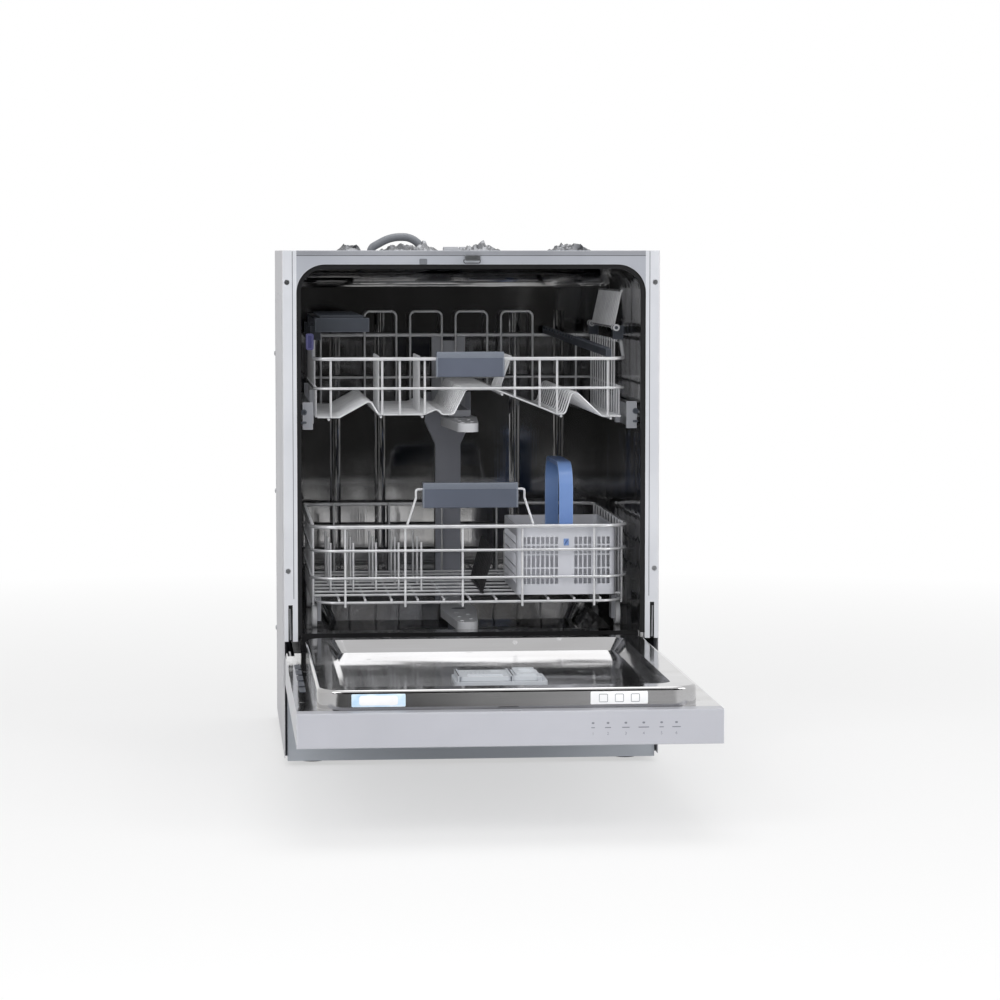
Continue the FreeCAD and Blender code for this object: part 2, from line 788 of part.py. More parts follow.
def tub_nodes():
    nodes = {}
    inner = arch(tub_half, tub_roof, tub_leg_bottom - 1, tub_corner, tub_front - 1, tub_back_y + 1)
    skin = arch(tub_half + tub_sheet, tub_roof + tub_sheet, tub_leg_bottom, tub_corner + tub_sheet,
                tub_front, tub_back_y)
    flange = box(-post_inner, post_inner, tub_front, tub_front + tub_sheet, post_bottom, mouth_top)
    nodes["tub_wrapper"] = skin.fuse(flange).cut(inner).removeSplitter()

    back = arch(tub_half + tub_sheet, tub_roof + tub_sheet, tub_leg_bottom, tub_corner + tub_sheet,
                tub_back_y, tub_back_y + tub_sheet).fuse(tub_cove())
    ribs = []
    rib_y = tub_back_y + tub_rib_radius - tub_rib_height
    for x in tub_rib_places:
        round_rib = cylinder(tub_rib_radius, Vec(x, rib_y, ledge_top + pan_depth),
                             Vec(x, rib_y, tub_roof - tub_corner * 2))
        ribs.append(round_rib.cut(box(x - tub_rib_radius, x + tub_rib_radius, tub_back_y + tub_sheet / 2,
                                      tub_back_y + 3 * tub_rib_radius, 0, cabinet_height)))
    nodes["tub_back"] = back.fuse(ribs).removeSplitter()

    pan_half = tub_half - ledge_width
    pan_front = sill_y + ledge_width
    pan_back = tub_back_y - ledge_width
    plate = box(-tub_half, tub_half, sill_y, tub_back_y, ledge_top - tub_sheet, ledge_top)
    lip = box(-tub_half, tub_half, sill_y, sill_y + tub_sheet, tub_leg_bottom, ledge_top)
    outer = tapered_pocket(-pan_half - tub_sheet, pan_half + tub_sheet, pan_front - tub_sheet,
                           pan_back + tub_sheet,
                           ledge_top, pan_floor - tub_sheet, pan_corner, pan_draft)
    room = tapered_pocket(-pan_half, pan_half, pan_front, pan_back, ledge_top, pan_floor, pan_corner,
                          pan_draft)
    well = rounded_block(sump_x - sump_width / 2, sump_x + sump_width / 2, sump_y - sump_length / 2,
                         sump_y + sump_length / 2, pan_floor - pan_cut, pan_floor + pan_cut, sump_corner)
    salt_hole = Part.makeCylinder(salt_neck_radius, 2 * pan_cut, Vec(salt_x, salt_y, pan_floor - pan_cut))
    nodes["tub_floor"] = plate.fuse([lip, outer]).cut([room, well, salt_hole]).removeSplitter()

    seal_outer = arch(post_inner, mouth_top, ledge_top, tub_corner + seal_width, seal_front, tub_front)
    seal_room = arch(seal_inner, seal_top, ledge_top - 1, tub_corner, seal_front - 1, tub_front + 1)
    strip = box(-seal_inner, seal_inner, sill_y - sill_strip, sill_y, ledge_top - sill_strip_height,
                ledge_top)
    nodes["door_seal"] = group([seal_outer.cut(seal_room), strip])
    return nodes


def water_nodes():
    nodes = {}
    bottom = pan_floor - tub_sheet - sump_depth
    left = sump_x - sump_width / 2
    right = sump_x + sump_width / 2
    front = sump_y - sump_length / 2
    back = sump_y + sump_length / 2
    cup_top = pan_floor - tub_sheet
    lap = filter_plate_lap
    cup = rounded_block(left - lap, right + lap, front - lap, back + lap, cup_top - sump_wall, cup_top,
                        sump_corner)
    cup = cup.fuse(rounded_block(left - sump_wall, right + sump_wall, front - sump_wall, back + sump_wall,
                                 bottom - sump_wall, cup_top, sump_corner))
    cup = cup.cut(rounded_block(left, right, front, back, bottom, cup_top + 1, sump_corner))
    column = Part.makeCylinder(arm_pin_radius, arm_base + arm_thickness - bottom, Vec(0, arm_y, bottom))
    collar = Part.makeCylinder(arm_hub_radius / 2 + arm_collar_wall, arm_base - filter_gap - bottom,
                               Vec(0, arm_y, bottom))
    nodes["sump"] = cup.fuse([column, collar]).removeSplitter()

    plate = rounded_block(left - lap, right + lap, front - lap, back + lap, pan_floor,
                          pan_floor + filter_plate_sheet, sump_corner)
    plate = plate.cut([
        Part.makeCylinder(filter_radius + filter_gap, 2 * pan_cut,
                          Vec(filter_x, filter_y, pan_floor - pan_cut)),
        Part.makeCylinder(arm_hub_radius / 2 + arm_collar_wall + filter_gap, 2 * pan_cut,
                          Vec(0, arm_y, pan_floor - pan_cut)),
    ])
    nodes["filter_plate"] = plate

    top = pan_floor + filter_plate_sheet
    body = Part.makeCylinder(filter_radius, filter_height, Vec(filter_x, filter_y, top - filter_height))
    room = Part.makeCylinder(filter_radius - sump_wall, filter_height,
                             Vec(filter_x, filter_y, top - filter_height - sump_wall))
    rim = Part.makeCylinder(filter_radius + lap / 2, sump_wall, Vec(filter_x, filter_y, top + filter_gap))
    knob_half = filter_radius * filter_knob_share
    knob = box(filter_x - knob_half, filter_x + knob_half, filter_y - filter_knob / 3,
               filter_y + filter_knob / 3, top, top + filter_knob)
    neck = Part.makeCylinder(filter_radius, filter_gap, Vec(filter_x, filter_y, top))
    nodes["filter_cylinder"] = body.cut(room).fuse([neck, rim, knob]).removeSplitter()

    arm = spray_arm(arm_y, arm_base, arm_reach, arm_pin_radius + arm_fit)
    nodes["lower_spray_arm"] = arm

    pump_y = back + sump_wall
    pump_z = base_floor + pump_radius
    motor_y = pump_y + pump_neck_length
    neck_radius = pump_radius * pump_neck_share
    motor = cylinder(pump_radius, Vec(sump_x, motor_y, pump_z), Vec(sump_x, motor_y + pump_length, pump_z))
    neck = cylinder(neck_radius, Vec(sump_x, pump_y, bottom + neck_radius),
                    Vec(sump_x, motor_y + 1, bottom + neck_radius))
    nodes["wash_pump"] = motor.fuse(neck).removeSplitter()

    drain_end = cabinet_depth - drain_spigot_length
    body_end = drain_end - drain_pipe_length
    body = cylinder(drain_radius, Vec(drain_x(), body_end - drain_body_length, base_floor + drain_radius),
                    Vec(drain_x(), body_end, base_floor + drain_radius))
    pipe = cylinder(drain_spigot_radius + drain_pipe_wall,
                    Vec(drain_x(), body_end - drain_pipe_lap, port_z()), Vec(drain_x(), drain_end, port_z()))
    spigot = cylinder(drain_spigot_radius, Vec(drain_x(), drain_end - 1, port_z()),
                      Vec(drain_x(), cabinet_depth, port_z()))
    nodes["drain_pump"] = body.fuse([pipe, spigot]).removeSplitter()

    valve_back = cabinet_depth - inlet_thread_length
    valve = box(inlet_x() - valve_size / 2, inlet_x() + valve_size / 2, valve_back - valve_size, valve_back,
                base_floor, base_floor + valve_size)
    thread = cylinder(inlet_thread_radius, Vec(inlet_x(), valve_back - 1, port_z()),
                      Vec(inlet_x(), cabinet_depth, port_z()))
    nodes["inlet_valve"] = valve.fuse(thread).removeSplitter()

    tank_top = pan_floor - tub_sheet - softener_drop
    tank = rounded_block(salt_x - softener_width / 2, salt_x + softener_width / 2,
                         salt_y - softener_length / 2,
                         salt_y + softener_length / 2, base_floor, tank_top, softener_corner)
    tank_neck = Part.makeCylinder(salt_neck_radius - salt_gap, pan_floor - tank_top + 1,
                                  Vec(salt_x, salt_y, tank_top - 1))
    nodes["softener_tank"] = tank.fuse(tank_neck).removeSplitter()
    cap = Part.makeCylinder(salt_radius, salt_cap_height, Vec(salt_x, salt_y, salt_cap_base))
    notches = []
    for index in range(salt_notches):
        notch = Part.makeCylinder(salt_notch_radius, salt_cap_height + 2,
                                  Vec(salt_x + salt_radius + salt_notch_setback, salt_y, salt_cap_base - 1))
        notch.rotate(Vec(salt_x, salt_y, 0), Vec(0, 0, 1), 360 / salt_notches * index)
        notches.append(notch)
    nodes["salt_cap"] = cap.cut(notches)

    half = feed_width / 2
    front_y = tub_back_y - feed_depth
    port_bottom = upper_arm_top
    flare = half + feed_flare
    taper_low = port_bottom - feed_taper_low
    taper_top = port_bottom - feed_taper_top
    outline = [(-half, ledge_top), (half, ledge_top), (half, taper_low), (flare, taper_top),
               (flare, feed_top), (-flare, feed_top), (-flare, taper_top), (-half, taper_low)]
    corners = [Vec(x, front_y, z) for x, z in outline]
    pipe = Part.Face(Part.makePolygon(corners + corners[:1])).extrude(Vec(0, feed_depth, 0))
    nodes["feed_pipe"] = pipe
    return nodes


def roof_nodes():
    nodes = {}
    roof = tub_roof + tub_sheet
    mat = rounded_block(-tub_half + mat_margin, tub_half - mat_margin, post_depth + mat_margin / 2,
                        tub_back_y - mat_margin / 2, roof, roof + mat_thickness, mat_corner)
    nodes["roof_mat"] = mat
    top = roof + mat_thickness
    axis_z = top + coupling_radius
    left = coupling_x - coupling_length / 2
    body = cylinder(coupling_radius, Vec(left, roof_run_y, axis_z),
                    Vec(left + coupling_length, roof_run_y, axis_z))
    grooves = []
    for share in groove_places:
        x = left + coupling_length * share
        ring = cylinder(coupling_radius + 1, Vec(x, roof_run_y, axis_z),
                        Vec(x + coupling_groove, roof_run_y, axis_z))
        core = cylinder(coupling_radius - coupling_groove, Vec(x - 1, roof_run_y, axis_z),
                        Vec(x + coupling_groove + 1, roof_run_y, axis_z))
        grooves.append(ring.cut(core))
    boss = Part.makeCylinder(hose_boss_radius, hose_boss_height, Vec(hose_boss_x, roof_run_y, top))
    nodes["hose_fittings"] = group([body.cut(grooves), boss])
    peak = axis_z + hose_peak
    climb_x = left - hose_run - hose_climb
    points = [(left, axis_z), (left - hose_run, axis_z), (climb_x, peak), (climb_x - hose_top_run, peak),
              (hose_boss_x, peak - hose_drop), (hose_boss_x, top + hose_boss_height)]
    points = [(x, roof_run_y, z) for x, z in points]
    bends = widest_bends(points)
    hose = bent_wire(points, hose_radius, bends)
    nodes["roof_hose"] = hose
    length = bent_length(points, bends)
    print("roof hose: arc radii", ", ".join(f"{bend:.1f}" for bend in bends), f"length {length:.1f},",
          f"volume {hose.Volume:.0f} against {math.pi * hose_radius ** 2 * length:.0f}")
    return nodes


def door_nodes():
    nodes = {}
    shell = box(-door_half, door_half, control_near, door_near, door_under, door_flange - door_sheet)
    shell = shell.cut(box(-door_half + door_sheet, door_half - door_sheet, control_near - 1,
                          door_near - door_sheet,
                          door_under + door_sheet, door_flange))
    notch = box(hinge_plate_x - hinge_plate - hinge_play, hinge_plate_x + hinge_play,
                hinge_y - hinge_boss - 2,
                door_near + 1, hinge_z - hinge_boss - 2, door_flange + 1)
    nodes["door_outer_panel"] = shell.cut([notch, mirrored(notch)])

    flange = box(-door_half, door_half, control_near, door_near, door_flange - door_sheet, door_flange)
    plateau = rounded_block(-plateau_half, plateau_half, plateau_far, plateau_near,
                            door_flange - door_sheet,
                            plateau_top, plateau_corner)
    rim = [edge for edge in plateau.Edges if abs(edge.BoundBox.ZMin - plateau_top) < 0.01]
    plateau = plateau.makeFillet(plateau_edge, rim)
    s = door_sheet
    room = rounded_block(-plateau_half + s, plateau_half - s, plateau_far + s, plateau_near - s,
                         door_flange - 2 * s, plateau_top - s, plateau_corner - s)
    rim = [edge for edge in room.Edges if abs(edge.BoundBox.ZMin - plateau_top + s) < 0.01]
    room = room.makeFillet(plateau_edge - s, rim)
    tray = (-plateau_half + tray_rim, plateau_half - tray_rim, plateau_far + tray_rim,
            plateau_near - tray_rim)
    tray_room = tapered_pocket(*tray, plateau_top, tray_floor, tray_corner, tray_draft)
    tray_skin = tapered_pocket(tray[0] - s, tray[1] + s, tray[2] - s, tray[3] + s, plateau_top,
                               tray_floor - s,
                               tray_corner + s, tray_draft)
    hole = box(dispenser_x - dispenser_width / 2 + dispenser_lip - dispenser_fit,
               dispenser_x + dispenser_width / 2 - dispenser_lip + dispenser_fit,
               dispenser_y - dispenser_length / 2 + dispenser_lip - dispenser_fit,
               dispenser_y + dispenser_length / 2 - dispenser_lip + dispenser_fit, tray_floor - 3,
               tray_floor + 1)
    liner = flange.fuse(plateau).cut(room.cut(tray_skin)).cut([tray_room, hole, notch, mirrored(notch)])
    nodes["door_liner"] = liner.removeSplitter()

    control = box(-door_half, door_half, door_far, control_near, door_under, door_flange)
    end_edges = [edge for edge in control.Edges
                 if abs(edge.BoundBox.YMax - door_far) < 0.01 and edge.BoundBox.XLength > door_half]
    control = control.makeFillet(control_edge, end_edges)
    w = control_wall
    control = control.cut(box(-door_half + w, door_half - w, door_far + w, control_near + 1,
                              door_under + w, door_flange - w))
    control = control.cut(box(-latch_width / 2 - latch_room, latch_width / 2 + latch_room,
                              latch_door_y - latch_height / 2 - latch_room,
                              latch_door_y + latch_height / 2 + latch_room,
                              door_flange - w - 1, door_flange + 1))
    lever = latch_lever
    pin = latch_pin_radius
    hook_left = latch_width
    hook_right = hook_left + lever
    web_left = hook_right + latch_room
    at = lambda x: Vec(x, latch_pivot_y, latch_pivot_z)
    pivot = cylinder(pin, at(hook_left), at(web_left + 1))
    web = box(web_left, web_left + lever, latch_pivot_y - 2 * pin, latch_pivot_y + 2 * pin,
              door_under + w / 2,
              latch_pivot_z + 2 * pin)
    nodes["control_panel"] = control.fuse([pivot, web]).removeSplitter()
    hook = cylinder(2.5 * pin, at(hook_left), at(hook_right))
    hook = hook.fuse(box(hook_left, hook_right, latch_pivot_y - lever / 2, latch_pivot_y + lever / 2,
                         latch_pivot_z,
                         door_flange - w - latch_room))
    nodes["latch_hook"] = hook.cut(cylinder(pin + latch_fit, at(hook_left - 1),
                                            at(hook_right + 1))).removeSplitter()

    arm_low = door_under + door_sheet
    arm = box(hinge_arm_x - hinge_arm_sheet, hinge_arm_x, hinge_y - hinge_arm_length,
              hinge_y - hinge_boss - hinge_arm_gap, arm_low,
              hinge_z + hinge_boss)
    link = box(hinge_arm_x - hinge_arm_sheet, hinge_arm_x, hinge_y - hinge_boss - hinge_arm_gap - 1, hinge_y,
               hinge_z - hinge_boss,
               hinge_z + hinge_boss)
    eye = cylinder(hinge_boss, Vec(hinge_arm_x - hinge_arm_sheet, hinge_y, hinge_z),
                   Vec(hinge_arm_x, hinge_y, hinge_z))
    bore = cylinder(hinge_pin_radius + hinge_fit, Vec(hinge_arm_x - 2 * hinge_arm_sheet, hinge_y, hinge_z),
                    Vec(hinge_arm_x + hinge_arm_sheet, hinge_y, hinge_z))
    nodes["hinge_arms"] = both_sides(arm.fuse([link, eye]).cut(bore).removeSplitter())

    half = dispenser_width / 2
    long = dispenser_length / 2
    bezel = rounded_block(dispenser_x - half, dispenser_x + half, dispenser_y - long, dispenser_y + long,
                          tray_floor,
                          tray_floor + dispenser_bezel, dispenser_corner)
    inner_half = half - dispenser_lip
    inner_long = long - dispenser_lip
    box_low = tray_floor - dispenser_sink
    body = box(dispenser_x - inner_half, dispenser_x + inner_half, dispenser_y - inner_long,
               dispenser_y + inner_long,
               box_low, tray_floor)
    cup = box(lid_left + soap_near_inset, lid_left + lid_width - soap_far_inset,
              dispenser_y - inner_long + soap_wall, dispenser_y + inner_long - soap_wall,
              box_low + soap_wall, tray_floor + dispenser_bezel + 1)
    port = Part.makeCylinder(rinse_port_radius, dispenser_sink,
                             Vec(cap_left + cap_width / 2, dispenser_y, box_low + soap_wall))
    housing = bezel.fuse(body).cut([cup, port])
    ear_y = lid_length / 2 + 1
    ears = []
    for side in (-1, 1):
        ears.append(box(cap_pivot_x - cap_ear_half, cap_pivot_x + cap_ear_half, dispenser_y + side * ear_y,
                        dispenser_y + side * (ear_y + cap_ear_wall),
                        tray_floor + dispenser_bezel - 1, cap_pivot_z + cap_ear_half))
        ears.append(cylinder(cap_pin_radius,
                             Vec(cap_pivot_x, dispenser_y + side * (ear_y - cap_pin_depth), cap_pivot_z),
                             Vec(cap_pivot_x, dispenser_y + side * (ear_y + 2), cap_pivot_z)))
    guide_low = tray_floor + dispenser_bezel - 1
    guide_top = lid_z + lid_thickness + lid_gap
    for edge, side in ((lid_left, -1), (lid_left + lid_width, 1)):
        near = edge + side * lid_gap
        far = near + side * lid_guide
        ears.append(box(near, far, dispenser_y - inner_long, dispenser_y + inner_long, guide_low,
                        guide_top + lid_guide_sheet))
        ears.append(box(edge - side * lid_guide_lip, far, dispenser_y - inner_long,
                        dispenser_y + inner_long, guide_top,
                        guide_top + lid_guide_sheet))
    nodes["dispenser_housing"] = housing.fuse(ears).removeSplitter()
    lid = rounded_block(lid_left, lid_left + lid_width, dispenser_y - lid_length / 2,
                        dispenser_y + lid_length / 2,
                        lid_z, lid_z + lid_thickness, lid_corner)
    grip_y = dispenser_y - lid_length / 2 + lid_grip_setback
    grip = box(lid_left + lid_grip_inset, lid_left + lid_width - lid_grip_inset,
               grip_y, grip_y + lid_grip_width,
               lid_z + lid_thickness - 1, lid_z + lid_thickness + lid_grip_height)
    nodes["detergent_lid"] = lid.fuse(grip).removeSplitter()
    cap = box(cap_left, cap_pivot_x, dispenser_y - lid_length / 2, dispenser_y + lid_length / 2, lid_z,
              lid_z + lid_thickness)
    barrel = cylinder(lid_thickness / 2, Vec(cap_pivot_x, dispenser_y - lid_length / 2, cap_pivot_z),
                      Vec(cap_pivot_x, dispenser_y + lid_length / 2, cap_pivot_z))
    bores = [cylinder(cap_pin_radius + cap_fit,
                      Vec(cap_pivot_x, dispenser_y + side * (lid_length / 2 - cap_bore_depth), cap_pivot_z),
                      Vec(cap_pivot_x, dispenser_y + side * (lid_length / 2 + 1),
                          cap_pivot_z)) for side in (-1, 1)]
    crown = rounded_block(cap_left + cap_crown_inset, cap_pivot_x - cap_crown_inset,
                          dispenser_y - lid_length / 2 + cap_crown_inset,
                          dispenser_y + lid_length / 2 - cap_crown_inset, lid_z + lid_thickness - 1,
                          lid_z + lid_thickness + cap_crown, lid_corner)
    nodes["rinse_aid_cap"] = cap.fuse([barrel, crown]).cut(bores).removeSplitter()
    return nodes


def handle(width, front, bottom):
    grip = box(-width / 2, width / 2, front, front + handle_thickness, bottom, bottom + handle_height)
    hollow = box(-width, width, front + handle_plate, front + handle_thickness + 1, bottom - 1,
                 bottom + handle_height - handle_lip)
    front_edge = [edge for edge in grip.Edges if edge.BoundBox.XLength > width / 2
                  and abs(edge.BoundBox.YMax - front) < 0.01]
    return grip.makeFillet(handle_round, front_edge).cut(hollow)


def lower_rack_nodes():
    nodes = {}
    w = weld_gap
    wall = lower_half
    pieces = []
    for z, radius in [(lower_rim, rim_radius)] + [(level, ring_radius) for level in lower_rings]:
        out = w + radius
        pieces += wire_ring(wall + out, rack_front - out, lower_back + out, z, rack_corner + radius, radius)
    inset = 2 * wire_radius + w + ring_radius
    pieces += wire_ring(wall - inset, rack_front + inset, lower_back - inset, lower_floor,
                        rack_corner - inset, ring_radius)
    top = lower_rim + rim_radius
    for x in lower_uprights:
        for y in (rack_front + wire_radius, lower_back - wire_radius):
            pieces.append(cylinder(wire_radius, Vec(x, y, lower_foot), Vec(x, y, top)))
    for y in spread(rack_front + rack_corner + lower_side_inset, lower_back - rack_corner - lower_side_inset,
                    lower_side_pitch):
        for x in (-wall + wire_radius, wall - wire_radius):
            pieces.append(cylinder(wire_radius, Vec(x, y, lower_foot), Vec(x, y, top)))
    deck_front = rack_front + 2 * wire_radius + w
    deck_back = lower_back - 2 * wire_radius - w
    deck_half = wall - rack_corner
    for x in spread(-deck_half, deck_half, lower_run_pitch):
        pieces.append(cylinder(wire_radius, Vec(x, deck_front, lower_run_z),
                               Vec(x, deck_back, lower_run_z)))
    cross = spread(deck_front + rack_corner, deck_back - rack_corner, lower_cross_pitch)
    side = wall - 2 * wire_radius - w
    for y in cross:
        pieces.append(cylinder(wire_radius, Vec(-side, y, lower_cross_z), Vec(side, y, lower_cross_z)))
    foot = lower_deck + w
    for row in tine_rows:
        row_y = cross[int(row)]
        places = [(x, row_y) for x in spread(*tine_left, tine_pitch)]
        if row_y > basket_back:
            places += [(x, row_y) for x in spread(*tine_right, tine_pitch)]
        for x, y in places:
            pieces.append(cylinder(wire_radius, Vec(x, y, foot), Vec(x, y, foot + tine_height)))

    rim_y = rack_front - w - rim_radius
    grip_front = rack_front - 2 * rim_radius
    hook_y = grip_front + handle_plate + w + wire_radius
    hook_z = lower_handle_bottom + handle_height - handle_lip - w - wire_radius
    for side_sign in (-1, 1):
        edge = side_sign * lower_handle_width / 2
        turn_x = edge + side_sign * hook_reach
        knee = Vec(turn_x, hook_y, hook_z - hook_splay)
        foot = Vec(turn_x + side_sign * hook_splay, rim_y, top + w)
        tilt = knee.sub(foot).getAngle(Vec(0, 0, 1))
        foot.z += wire_radius * math.sin(tilt)
        pieces.append(bent_wire([tuple(foot), tuple(knee), (turn_x, hook_y, hook_z),
                                 (edge - side_sign * hook_tail, hook_y, hook_z)], wire_radius, hook_bend))
    nodes["lower_rack_wires"] = group(pieces)
    nodes["lower_handle"] = handle(lower_handle_width, grip_front, lower_handle_bottom)

    rod = cylinder(fold_rod_radius, Vec(fold_x, fold_span[0], fold_z), Vec(fold_x, fold_span[1], fold_z))
    lean = math.radians(fold_lean)
    direction = Vec(math.sin(lean), 0, math.cos(lean))
    folds = [rod]
    for index in range(fold_count):
        run = fold_span[1] - fold_span[0] - 2 * fold_end_inset
        y = fold_span[0] + fold_end_inset + run * index / (fold_count - 1)
        start = Vec(fold_x, y, fold_z).add(direction * (fold_rod_radius + w))
        folds.append(cylinder(wire_radius, start, start.add(direction * (tine_height * fold_share))))
    nodes["fold_tines"] = group(folds)

    brackets = []
    inner = wheel_x - wheel_width / 2 - wheel_side_gap
    frame_x = wall - inset - ring_radius
    for y in wheel_places:
        plate = box(inner - bracket_thickness, inner, y - bracket_length / 2, y + bracket_length / 2,
                    wheel_z - wheel_axle_radius - bracket_drop, lower_floor + ring_radius)
        head = box(inner - bracket_thickness, frame_x - w, y - bracket_length / 2, y + bracket_length / 2,
                   lower_floor - ring_radius, lower_floor + ring_radius)
        axle = cylinder(wheel_axle_radius, Vec(inner - 1, y, wheel_z),
                        Vec(wheel_x + wheel_width / 2 + 1, y, wheel_z))
        bracket = plate.fuse([head, axle]).removeSplitter()
        brackets += [bracket, mirrored(bracket)]
    nodes["wheel_brackets"] = group(brackets)
    for side_name, side_sign in (("left", -1), ("right", 1)):
        for end_name, y in zip(("front", "rear"), wheel_places):
            nodes[f"rack_wheel_{end_name}_{side_name}"] = wheel(
                side_sign * wheel_x, y, wheel_z, wheel_radius, wheel_width, wheel_axle_radius + wheel_fit)

    nodes.update(basket_nodes())
    return nodes


def wheel(x, y, z, radius, width, bore):
    body = cylinder(radius, Vec(x - width / 2, y, z), Vec(x + width / 2, y, z))
    rims = [edge for edge in body.Edges if edge.BoundBox.XLength < 0.01]
    body = body.makeFillet(wheel_round, rims)
    holes = [cylinder(bore, Vec(x - width, y, z), Vec(x + width, y, z))]
    hole_radius = (radius - bore) * wheel_hole_share
    for index in range(wheel_holes):
        angle = 2 * math.pi * index / wheel_holes
        reach = (radius + bore) / 2
        centre = (y + reach * math.cos(angle), z + reach * math.sin(angle))
        holes.append(cylinder(hole_radius, Vec(x - width, *centre), Vec(x + width, *centre)))
    return body.cut(holes)


def basket_nodes():
    nodes = {}
    t = basket_wall
    shell = rounded_block(basket_left, basket_right, basket_front, basket_back, basket_bottom, basket_top,
                          basket_corner)
    shell = shell.cut(rounded_block(basket_left + t, basket_right - t, basket_front + t, basket_back - t,
                                    basket_bottom + t, basket_top + 1, basket_corner - t))
    dividers = [box(basket_left + 1, basket_right - 1, y - t / 2, y + t / 2, basket_bottom + 1,
                    basket_top - basket_band)
                for y in spread(basket_front, basket_back, basket_length / 3)[1:-1]]
    shell = shell.fuse(dividers)
    low = basket_bottom + basket_band
    high = basket_top - basket_band
    bands = []
    edges = [0.0] + list(basket_rows) + [1.0]
    for start, end in zip(edges, edges[1:]):
        bands.append((low + (high - low) * start + basket_bar / 2,
                      low + (high - low) * end - basket_bar / 2))
    windows = []
    panels = ((basket_left + basket_band / 2, basket_mid - basket_panel / 2),
              (basket_mid + basket_panel / 2, basket_right - basket_band / 2))
    for left, right in panels:
        pitch = (right - left) / basket_columns
        for column in range(basket_columns):
            x = left + pitch * column
            for bottom, top in bands:
                windows.append(box(x + basket_bar / 2, x + pitch - basket_bar / 2, basket_front - 1,
                                   basket_front + t + 1,
                                   bottom, top))
                windows.append(box(x + basket_bar / 2, x + pitch - basket_bar / 2, basket_back - t - 1,
                                   basket_back + 1,
                                   bottom, top))
    slots = spread(basket_front + basket_band, basket_back - basket_band, (basket_right - basket_left) / 10)
    for near, far in zip(slots, slots[1:]):
        for bottom, top in bands:
            windows.append(box(basket_left - 1, basket_left + t + 1, near + basket_bar / 2,
                               far - basket_bar / 2, bottom, top))
            windows.append(box(basket_right - t - 1, basket_right + 1, near + basket_bar / 2,
                               far - basket_bar / 2, bottom, top))
    nodes["cutlery_basket"] = shell.cut(windows).removeSplitter()

    g = basket_grip_thickness
    front = basket_front + t + weld_gap
    back = basket_back - t - weld_gap
    half = (back - front) / 2
    middle = (back + front) / 2
    foot = basket_top - basket_band
    outer = arch(half, basket_grip_top, foot, basket_grip_corner, -basket_grip_width / 2,
                 basket_grip_width / 2)
    inner = arch(half - g, basket_grip_top - g, foot - 1, basket_grip_corner - g, -basket_grip_width,
                 basket_grip_width)
    grip = outer.cut(inner)
    grip.rotate(Vec(0, 0, 0), Vec(0, 0, 1), 90)
    grip.translate(Vec(basket_mid, middle, 0))
    nodes["basket_handle"] = grip
    return nodes


